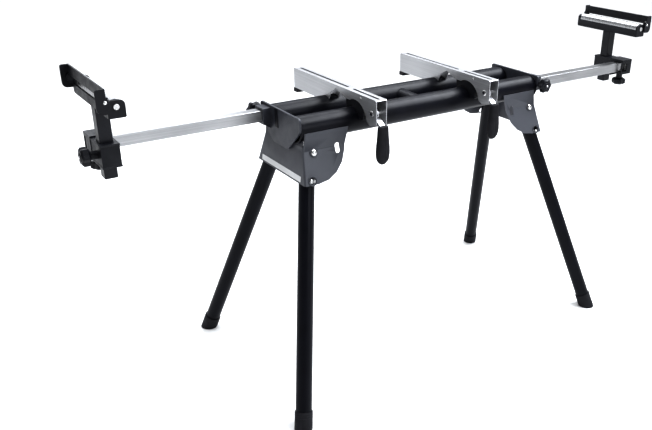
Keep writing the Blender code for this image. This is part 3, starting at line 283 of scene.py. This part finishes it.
def brushed(name, dark, light, gloss, stretch, relief, metallic=1.0):
    """Bare or plated metal with streaks along the axis that stretch keeps small."""
    material, tree, surface, place = shader(name, sum(gloss) / 2, metallic)
    streak = noise(tree, place, STREAK_SCALE, stretch, detail=STREAK_DETAIL)
    cloud = noise(tree, place, METAL_CLOUD_SCALE, detail=METAL_CLOUD_DETAIL)
    mix = tree.nodes.new("ShaderNodeMix")
    mix.inputs["Factor"].default_value = METAL_CLOUD_SHARE
    tree.links.new(streak, mix.inputs["A"])
    tree.links.new(cloud, mix.inputs["B"])
    colour = ramp(tree, mix.outputs["Result"], ((METAL_LOW, dark), (METAL_HIGH, light)))
    tree.links.new(colour, surface.inputs["Base Color"])
    tree.links.new(spread(tree, streak, *gloss), surface.inputs["Roughness"])
    bump(tree, surface, streak, relief, STREAK_DEPTH)
    return material


GLOSS_BLACK = paint("gloss_black_paint", dark=(0.0015, 0.0018, 0.0045),
                    light=(0.004, 0.0045, 0.0095), worn=(0.014, 0.015, 0.021), gloss=(0.31, 0.38),
                    grain=260, relief=0.03, specular=0.20)
DARK_GREY = paint("dark_grey_powder_coat", dark=(0.030, 0.032, 0.041), light=(0.045, 0.048, 0.060),
                  worn=(0.13, 0.135, 0.15), gloss=(0.34, 0.46), grain=1500, relief=0.10,
                  specular=0.36)
BLACK_PLASTIC = paint("black_moulded_plastic", dark=(0.004, 0.0045, 0.0075),
                      light=(0.008, 0.009, 0.0135), worn=(0.028, 0.029, 0.035), gloss=(0.36, 0.50),
                      grain=1900, relief=0.16, specular=0.34)
SATIN_BLACK = paint("satin_black_paint", dark=(0.004, 0.005, 0.009), light=(0.009, 0.010, 0.016),
                    worn=(0.038, 0.040, 0.048), gloss=(0.30, 0.40), grain=1200, relief=0.06,
                    specular=0.40)
RUBBER = paint("black_rubber", dark=(0.005, 0.005, 0.008), light=(0.010, 0.010, 0.015),
               worn=(0.032, 0.032, 0.038), gloss=(0.55, 0.72), grain=1200, relief=0.14,
               specular=0.34)
ZINC = brushed("zinc_plated_sheet", dark=(0.44, 0.445, 0.46), light=(0.53, 0.535, 0.55),
               gloss=(0.34, 0.42), stretch=(420, 5, 420), relief=0.04, metallic=0.78)
ALUMINIUM = brushed("brushed_arm_metal", dark=(0.36, 0.363, 0.373), light=(0.48, 0.483, 0.493),
                    gloss=(0.28, 0.38), stretch=(5, 700, 700), relief=0.08)
ROLLER_METAL = brushed("turned_roller_metal", dark=(0.42, 0.425, 0.435), light=(0.58, 0.585, 0.60),
                       gloss=(0.22, 0.34), stretch=(20, 1400, 20), relief=0.08)
BOLT_STEEL = brushed("bright_bolt_steel", dark=(0.56, 0.565, 0.57), light=(0.80, 0.80, 0.80),
                     gloss=(0.18, 0.30), stretch=(500, 500, 500), relief=0.05)
PALE_STRIP = paint("pale_printed_strip", dark=(0.50, 0.51, 0.52), light=(0.60, 0.61, 0.62),
                   worn=(0.66, 0.66, 0.66), gloss=(0.40, 0.52), grain=900, relief=0.04)
PALE_FLOOR = paint("pale_floor", dark=(0.62, 0.62, 0.62), light=(0.64, 0.64, 0.64),
                   worn=(0.64, 0.64, 0.64), gloss=(0.6, 0.7), grain=300, relief=0.02)

# Which material a CAD node has, by the end of its name
NODE_MATERIALS = (
    ("_rail", GLOSS_BLACK), ("cross_tube", GLOSS_BLACK), ("_leg", GLOSS_BLACK), ("_foot", RUBBER),
    ("_end_plate", DARK_GREY), ("_leg_housing", DARK_GREY), ("_post", SATIN_BLACK),
    ("_arm", ALUMINIUM), ("_roller", ROLLER_METAL), ("_roller_axle", BOLT_STEEL),
    ("_pivot_bolt", BOLT_STEEL), ("_latch_button", BOLT_STEEL), ("_rivet", BOLT_STEEL),
    ("_channel", ZINC), ("_lever_bar", ZINC), ("_rear_pad", RUBBER), ("_lever_grip", RUBBER),
    ("_jaw", BLACK_PLASTIC), ("_arm_end_cap", BLACK_PLASTIC), ("_arm_glide", BLACK_PLASTIC),
    ("_lock_knob", BLACK_PLASTIC), ("_carriage", BLACK_PLASTIC), ("_tray", BLACK_PLASTIC),
    ("_flip_stop", BLACK_PLASTIC))

for node_name, node in nodes.items():
    finish = [material for ending, material in NODE_MATERIALS if node_name.endswith(ending)]
    for material_slot in node.material_slots:
        material_slot.material = finish[-1]


# Soft edges on the CAD pieces: joined corners, whole flats, a fine rounding and normals to suit
EDGE_ROUNDING, EDGE_SEGMENTS = 0.0004, 2
JOIN_DISTANCE = 0.00001
FLAT_ANGLE = math.radians(0.5)
EDGE_ANGLE = math.radians(32)
FOLD_ANGLE = math.radians(12)
FLATS_WEIGHT = 80


def soften(obj, width, segments, angle):
    """Rounds the edges sharper than angle and keeps the flats' shading flat."""
    rounding = obj.modifiers.new("rounded_edges", "BEVEL")
    rounding.width, rounding.segments = width, segments
    rounding.limit_method, rounding.angle_limit = "ANGLE", angle
    normals = obj.modifiers.new("face_normals", "WEIGHTED_NORMAL")
    normals.weight = FLATS_WEIGHT


for node_name, node in nodes.items():
    weld = node.modifiers.new("joined", "WELD")
    weld.merge_threshold = JOIN_DISTANCE
    flat = node.modifiers.new("whole_flats", "DECIMATE")
    flat.decimate_type = "DISSOLVE"
    flat.angle_limit = FLAT_ANGLE
    soften(node, EDGE_ROUNDING, EDGE_SEGMENTS,
           FOLD_ANGLE if node_name.endswith("_leg_housing") else EDGE_ANGLE)


# Welds at the rails' ends and at the cross tube
RAIL_WELD_POINTS, CROSS_WELD_POINTS = 96, 72
WELD_RING_RADIUS = RAIL_RADIUS + BEAD_RADIUS / 4
for word, side in ENDS:
    for row, row_side in ROWS:
        centre = Vector((side * (RAIL_END - BEAD_RADIUS / 2), row_side * RAIL_Y, RAIL_Z))
        weld_ring = [centre + Vector((0, WELD_RING_RADIUS * c, WELD_RING_RADIUS * s))
                     for c, s in circle(RAIL_WELD_POINTS)]
        bead(f"{word}_{row}_rail_weld", weld_ring, GLOSS_BLACK, "frame")
cross_low, cross_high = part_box("cross_tube")
cross_x, cross_z = (cross_low[0] + cross_high[0]) / 2, (cross_low[2] + cross_high[2]) / 2
for row, row_side in ROWS:
    saddle = []
    for c, s in circle(CROSS_WELD_POINTS):
        x, z = CROSS_RADIUS * c, CROSS_RADIUS * s
        inward = RAIL_Y - math.sqrt(RAIL_RADIUS ** 2 - (z + cross_z - RAIL_Z) ** 2)
        saddle.append(Vector((cross_x + x, row_side * inward, cross_z + z)))
    bead(f"cross_tube_{row}_weld", saddle, GLOSS_BLACK, "frame")


# Bolts, washers and caps on the leg housings
def leg_axes(word, side_x, side_y):
    """Pivot, the open leg's direction, the side plate's normal and the hinge's outward axis."""
    pivot = Vector((side_x * PIVOT.x, side_y * PIVOT.y, PIVOT.z))
    down = Vector((side_x * LEG_OUT_X, side_y * LEG_OUT_Y, -1)).normalized()
    normal = Vector((0, side_y, LEG_OUT_Y)).normalized()
    nest = LEG_NEST[word]
    folded = Vector((-side_x * math.cos(nest), 0, 0)) + normal * math.sin(nest)
    hinge = down.cross(folded).normalized()
    return pivot, down, normal, hinge if hinge.dot(normal) > 0 else -hinge


# Lathe profiles as (radius, height)
WASHER = [(0.0068, 0.0002), (0.0122, 0.0002), (0.0126, 0.0006), (0.0126, 0.0009), (0.0121, 0.0013),
          (0.0068, 0.0013)]
BOLT_CAP = [(0, 0.0050), (0.0025, 0.00495), (0.0046, 0.0044), (0.0066, 0.0034), (0.0082, 0.0020),
            (0.0090, 0.0006), (0.0092, 0.0001), (0.0085, 0.0), (0, 0.0001)]
COLLAR_RING = [(0.0094, 0.0), (0.0128, 0.0), (0.0134, 0.0004), (0.0134, 0.0008), (0.0126, 0.0014),
               (0.0104, 0.0014), (0.0094, 0.0008)]
CAP_STANDOFF = 0.0025
for word, side in ENDS:
    for row, row_side in ROWS:
        name = f"{word}_{row}"
        pivot, down, normal, outward = leg_axes(word, side, row_side)
        on_plate = pivot + outward * (PLATE_DISTANCE / outward.dot(normal))
        turned(f"{name}_bolt_washer", on_plate, normal, WASHER, DARK_GREY, "frame")
        turned(f"{name}_bolt_cap", pivot + outward * (PLATE_DISTANCE + CAP_STANDOFF), outward,
               BOLT_CAP, BOLT_STEEL, "frame")
        latch = pivot + down * LATCH_DROP + normal * PLATE_DISTANCE
        turned(f"{name}_latch_collar", latch, normal, COLLAR_RING, DARK_GREY, "frame")


# Knob faces: a round boss with a bright stud end
KNOB_FACE = [(0, 0.0016), (0.0090, 0.0016), (0.0104, 0.0012), (0.0110, 0.0002), (0.0110, -0.0004),
             (0, -0.0004)]
STUD_END = [(0, 0.0030), (0.0022, 0.0028), (0.0034, 0.0020), (0.0036, 0.0014), (0, 0.0014)]
ARM_KNOB_STANDOFF, CARRIAGE_KNOB_STANDOFF = 0.020, 0.019


def knob_place(kind, side, direction, low, high):
    """Middle of a knob's outer face; low and high are the corners of the knob's box."""
    if kind == "post":
        outer_x = high[0] if side > 0 else low[0]
        return Vector((outer_x, (low[1] + high[1]) / 2, (low[2] + high[2]) / 2))
    if kind == "arm":
        root, standoff = (COLLAR_MIDDLE, -RAIL_Y - COLLAR_HALF, ARM_Z), ARM_KNOB_STANDOFF
    else:
        root, standoff = (POST_X, -RAIL_Y, CARRIAGE_BOTTOM), CARRIAGE_KNOB_STANDOFF
    return end_point(side, *root) + direction * (standoff + KNOB_THICKNESS)


for word, side in ENDS:
    for kind, axis in (("arm", (0, -1, 0)), ("carriage", (0, 0, -1)), ("post", (1, 0, 0))):
        low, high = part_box(f"{word}_{kind}_lock_knob")
        direction = end_point(side, *axis)
        face = knob_place(kind, side, direction, low, high)
        body = f"{word}_{kind}_knob_body"
        turned(f"{word}_{kind}_knob_face", face, direction, KNOB_FACE, BLACK_PLASTIC, body)
        turned(f"{word}_{kind}_knob_stud", face, direction, STUD_END, BOLT_STEEL, body, SMALL_STEPS)


# Feet: raised rings round the rubber
FOOT_RING = [(0.0230, -0.0010), (0.0236, -0.0008), (0.0238, 0), (0.0236, 0.0008), (0.0230, 0.0010)]
FOOT_RING_HEIGHTS = (0.042, 0.036, 0.030)
for word, side in ENDS:
    for row, row_side in ROWS:
        pivot, down, normal, outward = leg_axes(word, side, row_side)
        length = PIVOT.z / -down.z
        for number, above in enumerate(FOOT_RING_HEIGHTS):
            turned(f"{word}_{row}_foot_ring_{number}", pivot + down * (length - above), down,
                   FOOT_RING, RUBBER, f"{word}_{row}_leg_body")


# Screws where the flip stops turn
PIN_SCREW = [(0, 0.0022), (0.0020, 0.0021), (0.0036, 0.0014), (0.0042, 0.0002), (0.0042, -0.0002),
             (0, -0.0002)]
for word, side in ENDS:
    low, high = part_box(f"{word}_flip_stop")
    for row, row_side in ROWS:
        face_y = low[1] if row_side < 0 else high[1]
        turned(f"{word}_stop_screw_{row}", (side * STOP_PIN_X, face_y, STOP_PIN_Z),
               (0, row_side, 0), PIN_SCREW, BOLT_STEEL, f"{word}_stop_body", SMALL_STEPS)


# Lever grips: the moulded shape with ribs along it, as (share of the length, share of the width)
GRIP_SHARES = ((0.0, 0.66), (0.04, 0.76), (0.14, 0.79), (0.25, 0.82), (0.40, 0.895), (0.55, 0.97),
               (0.64, 0.99), (0.72, 1.0), (0.80, 0.95), (0.88, 0.86), (0.93, 0.70), (0.97, 0.52),
               (1.0, 0.30))
GRIP_HALF_WIDTH, GRIP_HALF_DEPTH = 0.0205, 0.0095
GRIP_RIBS, POINTS_PER_RIB, RIB_DEPTH = 22, 4, 0.05
RIB_FADE_IN, RIB_END, RIB_FADE_OUT = 0.08, 0.97, 0.10
GRIP_POWER = 2 / 2.6


def squarer(value):
    """A cosine or sine bent so that a round section grows squarer."""
    return math.copysign(abs(value) ** GRIP_POWER, value)


def grip(number, x):
    """Ribbed grip of one bracket's lever."""
    bm = bmesh.new()
    rings = []
    count = GRIP_RIBS * POINTS_PER_RIB
    for along, wide in GRIP_SHARES:
        fade = min(1.0, along / RIB_FADE_IN, max(0.0, (RIB_END - along) / RIB_FADE_OUT))
        ring_verts = []
        for i, (c, s) in enumerate(circle(count)):
            wave = 0.5 - 0.5 * math.cos(FULL_TURN * i / count * GRIP_RIBS)
            groove = 1 - RIB_DEPTH * fade * wave
            ring_verts.append(bm.verts.new(
                (x + GRIP_HALF_WIDTH * wide * squarer(c) * groove,
                 -LEVER_ELBOW_Y + GRIP_HALF_DEPTH * wide * squarer(s) * groove,
                 GRIP_TOP_Z - GRIP_LENGTH * along)))
        rings.append(ring_verts)
    loft(bm, rings)
    piece = new_piece(f"bracket_{number}_ribbed_grip", bm, RUBBER, f"bracket_{number}_lever_body")
    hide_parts(f"bracket_{number}_lever_grip")


for number, x in BRACKETS:
    grip(number, x)


# Solid shapes cut and joined from boxes, prisms and rods
def solid(name, bm):
    """Closed mesh object from bm, not yet a piece."""
    return new_object(name, finished_mesh(name, bm))


def block(low, high):
    """Box between two corners."""
    bm = bmesh.new()
    bmesh.ops.create_cube(bm, size=1)
    middle, size = (Vector(low) + Vector(high)) / 2, Vector(high) - Vector(low)
    bm.transform(Matrix.Translation(middle) @ Matrix.Diagonal((*size, 1)))
    return solid("block", bm)


def rod(start, end, radius, steps=32):
    """Round bar between two points."""
    bm = bmesh.new()
    axis = Vector(end) - Vector(start)
    bmesh.ops.create_cone(bm, cap_ends=True, segments=steps, radius1=radius, radius2=radius,
                          depth=axis.length)
    bm.transform(frame_of((Vector(start) + Vector(end)) / 2, axis))
    return solid("rod", bm)


def prism(corners, low, high):
    """Solid with the outline corners (y, z), pushed from low to high along X."""
    bm = bmesh.new()
    caps = []
    for level in (low, high):
        caps.append([bm.verts.new((level, *corner)) for corner in corners])
        bm.faces.new(caps[-1])
    skin(bm, *caps)
    return solid("prism", bm)


def combine(target, other, operation):
    """Applies a Boolean to target with other, which is then deleted."""
    change = target.modifiers.new(operation, "BOOLEAN")
    change.operation, change.solver, change.object = operation, "EXACT", other
    depsgraph = bpy.context.evaluated_depsgraph_get()
    mesh = bpy.data.meshes.new_from_object(target.evaluated_get(depsgraph))
    target.modifiers.clear()
    old, target.data = target.data, mesh
    bpy.data.meshes.remove(old)
    bpy.data.objects.remove(other)


def dress(obj, name, material, body, rounding, steps=3):
    """Turns a solid into a piece: rounded edges, normals, material and body."""
    obj.name = obj.data.name = name
    obj.data.shade_smooth()
    soften(obj, rounding, steps, EDGE_ANGLE)
    obj.data.materials.clear()
    obj.data.materials.append(material)
    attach(obj, body)


# Carriages: socket for the arm, window in its free side, and the sleeve for the post
SOCKET_START, SOCKET_BACK = 0.8360, -0.04225
CARRIAGE_END, CARRIAGE_FRONT, CARRIAGE_TOP = 0.8845, 0.09425, 0.76175
SLEEVE_START, SLEEVE_END, SLEEVE_FRONT, SLEEVE_BACK = 0.8400, 0.8830, -0.047, 0.030
SLEEVE_LOW, SLEEVE_TOP = 0.70275, 0.75875
RIM_FRONT, RIM_OUT, RIM_HEIGHT, RIM_SETBACK = -0.040, 0.0008, 0.0040, 0.0005
WINDOW_START, WINDOW_END, WINDOW_HALF = 0.8400, 0.8620, 0.0135
PAST, RUN_GAP, SOCKET_SIDE_GAP = 0.004, 0.0005, 0.008
STUD_HOLE_RADIUS, CARRIAGE_ROUNDING = 0.0043, 0.0009
for word, side in ENDS:
    shell = block((SOCKET_START, -CARRIAGE_FRONT, CARRIAGE_BOTTOM),
                  (CARRIAGE_END, SOCKET_BACK, CARRIAGE_TOP))
    combine(shell, block((SLEEVE_START, SLEEVE_FRONT, SLEEVE_LOW),
                         (SLEEVE_END, SLEEVE_BACK, SLEEVE_TOP)), "UNION")
    for rim_low in (SLEEVE_TOP - RIM_SETBACK - RIM_HEIGHT, SLEEVE_LOW + RIM_SETBACK):
        rim = block((SLEEVE_START - RIM_OUT, RIM_FRONT, rim_low),
                    (SLEEVE_END + RIM_OUT, SLEEVE_BACK + RIM_OUT, rim_low + RIM_HEIGHT))
        combine(shell, rim, "UNION")
    reach = ARM_HALF + RUN_GAP
    arm_room = block((SOCKET_START - PAST, -RAIL_Y - ARM_HALF - SOCKET_SIDE_GAP, ARM_Z - reach),
                     (CARRIAGE_END + PAST, -RAIL_Y + reach, ARM_Z + reach))
    combine(shell, arm_room, "DIFFERENCE")
    reach = POST_HALF + RUN_GAP
    post_room = block((POST_X - reach, -reach, SLEEVE_LOW - PAST),
                      (POST_X + reach, reach, SLEEVE_TOP + PAST))
    combine(shell, post_room, "DIFFERENCE")
    window = block((WINDOW_START, -CARRIAGE_FRONT - PAST, ARM_Z - WINDOW_HALF),
                   (WINDOW_END, -RAIL_Y - ARM_HALF - PAST, ARM_Z + WINDOW_HALF))
    combine(shell, window, "DIFFERENCE")
    knob_z = (SLEEVE_LOW + SLEEVE_TOP) / 2
    for start, end in (((POST_X, -RAIL_Y, CARRIAGE_BOTTOM - PAST), (POST_X, -RAIL_Y, ARM_Z)),
                       ((POST_X, 0, knob_z), (CARRIAGE_END + PAST, 0, knob_z))):
        combine(shell, rod(start, end, STUD_HOLE_RADIUS), "DIFFERENCE")
    to_end(shell, side)
    dress(shell, f"{word}_carriage_shell", BLACK_PLASTIC, f"{word}_carriage_body",
          CARRIAGE_ROUNDING)
    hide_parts(f"{word}_carriage")


# Rear pads of the brackets: a grooved sole and the plug that holds it in the channel
SOLE_LENGTH, SOLE_LOW, SOLE_HIGH = 0.0195, 0.7325, 0.7437
PLUG_REACH, PLUG_INSET, PLUG_LOW = 0.0165, 0.0040, 0.7430
GROOVES, FIRST_GROOVE, GROOVE_PITCH, GROOVE_HALF = 4, 0.0035, 0.0042, 0.0007
GROOVE_LOW, GROOVE_HIGH, PAD_ROUNDING = 0.7315, 0.7333, 0.0010
for number, x in BRACKETS:
    low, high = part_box(f"bracket_{number}_rear_pad")
    pad = block((low[0], high[1] - SOLE_LENGTH, SOLE_LOW), (high[0], high[1], SOLE_HIGH))
    plug = block((low[0] + PLUG_INSET, high[1] - PLUG_REACH, PLUG_LOW),
                 (high[0] - PLUG_INSET, high[1] - PLUG_INSET, high[2]))
    combine(pad, plug, "UNION")
    for line in range(GROOVES):
        y = high[1] - FIRST_GROOVE - line * GROOVE_PITCH
        combine(pad, block((low[0] - PAST, y - GROOVE_HALF, GROOVE_LOW),
                           (high[0] + PAST, y + GROOVE_HALF, GROOVE_HIGH)), "DIFFERENCE")
    dress(pad, f"bracket_{number}_pad", RUBBER, f"bracket_{number}_body", PAD_ROUNDING)
    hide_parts(f"bracket_{number}_rear_pad")


# Levers: the flat bar turns a quarter between its rivet and the grip
CAM_RADIUS, CAM_SIDE, CAM_STEPS = 0.0108, 0.0045, 48
LEVER_HALF, EYE_RADIUS, EYE_REACH = 0.0025, 0.00425, 0.012
STRAP_HALF, STRAP_THIN, STRAP_STEPS = 0.0078, 0.8, 26
STRAP_START_Y, STRAP_START_Z, STRAP_END_Z = LEVER_Y + 0.004, LEVER_Z - 0.002, 0.697
STRAP_ASIDE, STRAP_EXTRA_WIDTH = 0.002, 0.15
BAR_ROUNDING, BAR_SEGMENTS = 0.0005, 2
# Shares of the strap's length as (start, length)
BEND, TWIST, NARROWING, SHIFT = (0, 0.55), (0.02, 0.20), (0, 0.3), (0.10, 0.40)
STRAP_CORNERS = ((-1, -1), (-1, 1), (1, 1), (1, -1))
SMALL_RIVET = [(0, 0.0016), (0.0016, 0.0014), (0.0028, 0.0007), (0.0032, -0.0002), (0, -0.0002)]
SMALL_RIVET_OUT, SMALL_RIVET_Y, SMALL_RIVET_Z = 0.0165, -0.111, 0.7935


def progress(share, stretch):
    """How much of a (start, length) stretch share has passed, 0..1."""
    start, length = stretch
    return max(0.0, min(1.0, (share - start) / length))


def lever(number, x):
    """Twisted lever bar of one bracket, with the eye that its rivet passes through."""
    bm = bmesh.new()
    rings = []
    for i in range(STRAP_STEPS + 1):
        share = i / STRAP_STEPS
        lean = progress(share, BEND)
        ease = lean * lean * (3 - 2 * lean)
        turn = QUARTER_TURN * progress(share, TWIST)
        half_width = STRAP_HALF * (1 + STRAP_EXTRA_WIDTH * (1 - progress(share, NARROWING)))
        centre = Vector((x - CAM_SIDE + (CAM_SIDE + STRAP_ASIDE) * progress(share, SHIFT),
                         -STRAP_START_Y - (LEVER_ELBOW_Y - STRAP_START_Y) * ease,
                         STRAP_START_Z + (STRAP_END_Z - STRAP_START_Z) * share))
        across = Vector((math.sin(turn), math.cos(turn), 0)) * half_width
        thick = Vector((math.cos(turn), -math.sin(turn), 0)) * LEVER_HALF * STRAP_THIN
        rings.append([bm.verts.new(centre + across * a + thick * b) for a, b in STRAP_CORNERS])
    loft(bm, rings)
    bar = solid("lever", bm)
    cam_x = x - CAM_SIDE
    cam = rod((cam_x - LEVER_HALF, -LEVER_Y, LEVER_Z), (cam_x + LEVER_HALF, -LEVER_Y, LEVER_Z),
              CAM_RADIUS, CAM_STEPS)
    combine(bar, cam, "UNION")
    combine(bar, rod((x - EYE_REACH, -LEVER_Y, LEVER_Z), (x + EYE_REACH, -LEVER_Y, LEVER_Z),
                     EYE_RADIUS), "DIFFERENCE")
    dress(bar, f"bracket_{number}_twisted_bar", ZINC, f"bracket_{number}_lever_body", BAR_ROUNDING,
          BAR_SEGMENTS)
    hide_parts(f"bracket_{number}_lever_bar")


for number, x in BRACKETS:
    lever(number, x)
    for word, side in ENDS:
        turned(f"bracket_{number}_small_rivet_{word}",
               (x + side * SMALL_RIVET_OUT, SMALL_RIVET_Y, SMALL_RIVET_Z), (side, 0, 0),
               SMALL_RIVET, BOLT_STEEL, f"bracket_{number}_body", SMALL_STEPS)


# Upper edge of the end panels, cut round the rails
def panel_x(z):
    """Outer face of the right end's panel at height z."""
    return HOUSING_TOP_X + HOUSING_LEAN * (HOUSING_TOP_Z - z)


PANEL_TOP, LIP_TOP, LIP_LEAST, LIP_OUT = 0.6866, 0.7040, 0.0004, 0.0995
LIP_STEPS, LIP_ROUNDING, LIP_SEGMENTS = 80, 0.0003, 2
PANEL_SHEET, RAIL_CLEAR = 0.0020, 0.0004
for word, side in ENDS:
    edge = [(-LIP_OUT, PANEL_TOP)]
    for step in range(LIP_STEPS + 1):
        y = -LIP_OUT + 2 * LIP_OUT * step / LIP_STEPS
        away, clear = abs(y) - RAIL_Y, RAIL_RADIUS + RAIL_CLEAR
        z = RAIL_Z - math.sqrt(max(0.0, clear ** 2 - away ** 2))
        edge.append((y, max(PANEL_TOP + LIP_LEAST, min(LIP_TOP, z))))
    edge.append((LIP_OUT, PANEL_TOP))
    lip = prism(edge, -PANEL_SHEET, 0)
    for vert in lip.data.vertices:
        vert.co.x = side * (vert.co.x + panel_x(vert.co.z))
    dress(lip, f"{word}_panel_edge", DARK_GREY, "frame", LIP_ROUNDING, LIP_SEGMENTS)


# Painted shade on each end plate's outer face, beside the collar: a thin gloss black strip that
# stands for the dark shade there, not a part of its own
SHADE_STRIP_INNER, SHADE_STRIP_OUTER, SHADE_STRIP_LOW, SHADE_STRIP_HIGH = 0.008, 0.023, 0.712, 0.7640
SHADE_STRIP_PROUD, SHADE_STRIP_SUNK, PAINTED_SHADE_ROUNDING = 0.0016, 0.0002, 0.0010
for word, side in ENDS:
    # the black strip below is painted shade beside the collar
    bar = block((END_FACE - SHADE_STRIP_SUNK, -SHADE_STRIP_OUTER, SHADE_STRIP_LOW),
                (END_FACE + SHADE_STRIP_PROUD, -SHADE_STRIP_INNER, SHADE_STRIP_HIGH))
    to_end(bar, side)
    dress(bar, f"{word}_plate_painted_shade_strip", GLOSS_BLACK, "frame", PAINTED_SHADE_ROUNDING)


# Plain pale strip on each housing's end panel
STRIP_LOW, STRIP_HIGH, STRIP_HALF = 0.5975, 0.6125, 0.106
STRIP_PROUD, STRIP_CORNER, STRIP_CORNER_STEPS = 0.00025, 0.002, 4
for word, side in ENDS:
    bm = bmesh.new()
    outline = []
    corner_y, corner_low, corner_high = (STRIP_HALF - STRIP_CORNER, STRIP_LOW + STRIP_CORNER,
                                         STRIP_HIGH - STRIP_CORNER)
    for y, z, start in ((corner_y, corner_low, -QUARTER_TURN), (corner_y, corner_high, 0),
                        (-corner_y, corner_high, QUARTER_TURN),
                        (-corner_y, corner_low, 2 * QUARTER_TURN)):
        for i in range(STRIP_CORNER_STEPS + 1):
            turn = start + QUARTER_TURN * i / STRIP_CORNER_STEPS
            outline.append((y + STRIP_CORNER * math.cos(turn), z + STRIP_CORNER * math.sin(turn)))
    layers = []
    for proud in (-STRIP_PROUD, STRIP_PROUD):
        layers.append([bm.verts.new((side * (panel_x(z) + proud), y, z)) for y, z in outline])
        bm.faces.new(layers[-1])
    skin(bm, *layers)
    new_piece(f"{word}_panel_strip", bm, PALE_STRIP, "frame", smooth=False)


# Floor and light
FLOOR_RADIUS, FLOOR_STEPS = 150, 96
COOL_WHITE, SKY_WHITE = (0.93, 0.96, 1.0), (0.965, 0.98, 1.0)
# Softboxes as name, place, target, size and power in watts
SOFTBOXES = (
    ("overhead_right", (1.4, -0.45, 2.6), (0, 0, 0.7), (2.1, 1.7), 128),
    ("behind_right", (1.6, 2.5, 3.3), (0, 0, 0.7), (2.6, 1.2), 40),
    ("overhead_left", (-1.6, 0.6, 2.8), (-0.6, 0, 0.7), (1.6, 1.6), 12),
    ("behind", (-0.5, 3.4, 1.6), (-0.3, 0, 0.8), (3.0, 1.6), 34),
    ("front", (0.7, -2.8, 1.7), (-0.3, 0, 0.7), (1.4, 1.2), 26))
SKY_POWER, SKY_SPREAD = 4.5, math.radians(80)
SKY_PLACE, TO_SKY = Vector((0, 0, 4)), Vector((0.10, 0.15, 1))
HORIZON_TO_TOP = ((0.0, 1.0), (0.05, 0.95), (0.22, 0.30), (1.0, 0.20))
VIEW_GAMMA = 0.71


def floor():
    """Wide pale floor."""
    bm = bmesh.new()
    bmesh.ops.create_circle(bm, cap_ends=True, segments=FLOOR_STEPS, radius=FLOOR_RADIUS)
    mesh = bpy.data.meshes.new("floor")
    bm.to_mesh(mesh)
    bm.free()
    mesh.materials.append(PALE_FLOOR)
    piece = new_object("floor", mesh)


def softbox(name, place, target, size, power):
    """Rectangular lamp at place, turned to target and hidden from the camera."""
    light = bpy.data.lights.new(name, "AREA")
    light.shape = "RECTANGLE"
    light.size, light.size_y = size
    light.energy, light.color = power, COOL_WHITE
    lamp = new_object(name, light)
    lamp.visible_camera = False
    lamp.matrix_world = frame_of(Vector(place), Vector(place) - Vector(target))


floor()
for softbox_values in SOFTBOXES:
    softbox(*softbox_values)
sky = bpy.data.lights.new("sky", "SUN")
sky.energy, sky.angle, sky.color = SKY_POWER, SKY_SPREAD, SKY_WHITE
new_object("sky", sky).matrix_world = frame_of(SKY_PLACE, TO_SKY)

world = bpy.data.worlds.new("studio")
world.use_nodes = True
world_tree = world.node_tree
background = world_tree.nodes["Background"]
direction = world_tree.nodes.new("ShaderNodeTexCoord")
split = world_tree.nodes.new("ShaderNodeSeparateXYZ")
world_tree.links.new(direction.outputs["Generated"], split.inputs["Vector"])
sky_colour = ramp(world_tree, split.outputs["Z"], HORIZON_TO_TOP)
world_tree.links.new(sky_colour, background.inputs["Color"])
background.inputs["Strength"].default_value = 1.0
bpy.context.scene.world = world
bpy.context.scene.view_settings.view_transform = "Standard"
bpy.context.scene.view_settings.gamma = VIEW_GAMMA


# Camera, placed as for the photograph
CAMERA_PLACE = Vector((-1.3017, -1.6989, 1.3218))
YAW, PITCH, ROLL = math.radians(37.11), math.radians(24.31), math.radians(1.384)
FOCAL_LENGTH, SHIFT_X, SHIFT_Y = 41.79, -0.117, 0.0023
level = Vector((math.cos(YAW), -math.sin(YAW), 0))
forward = Vector((math.sin(YAW) * math.cos(PITCH), math.cos(YAW) * math.cos(PITCH),
                  -math.sin(PITCH)))
upright = level.cross(forward)
across = level * math.cos(ROLL) + upright * math.sin(ROLL)
top = upright * math.cos(ROLL) - level * math.sin(ROLL)
camera = new_object("camera", bpy.data.cameras.new("camera"))
camera_turn = Matrix((across, top, -forward)).transposed().to_4x4()
camera.matrix_world = Matrix.Translation(CAMERA_PLACE) @ camera_turn
camera.data.lens = FOCAL_LENGTH
camera.data.shift_x, camera.data.shift_y = SHIFT_X, SHIFT_Y
bpy.context.scene.camera = camera
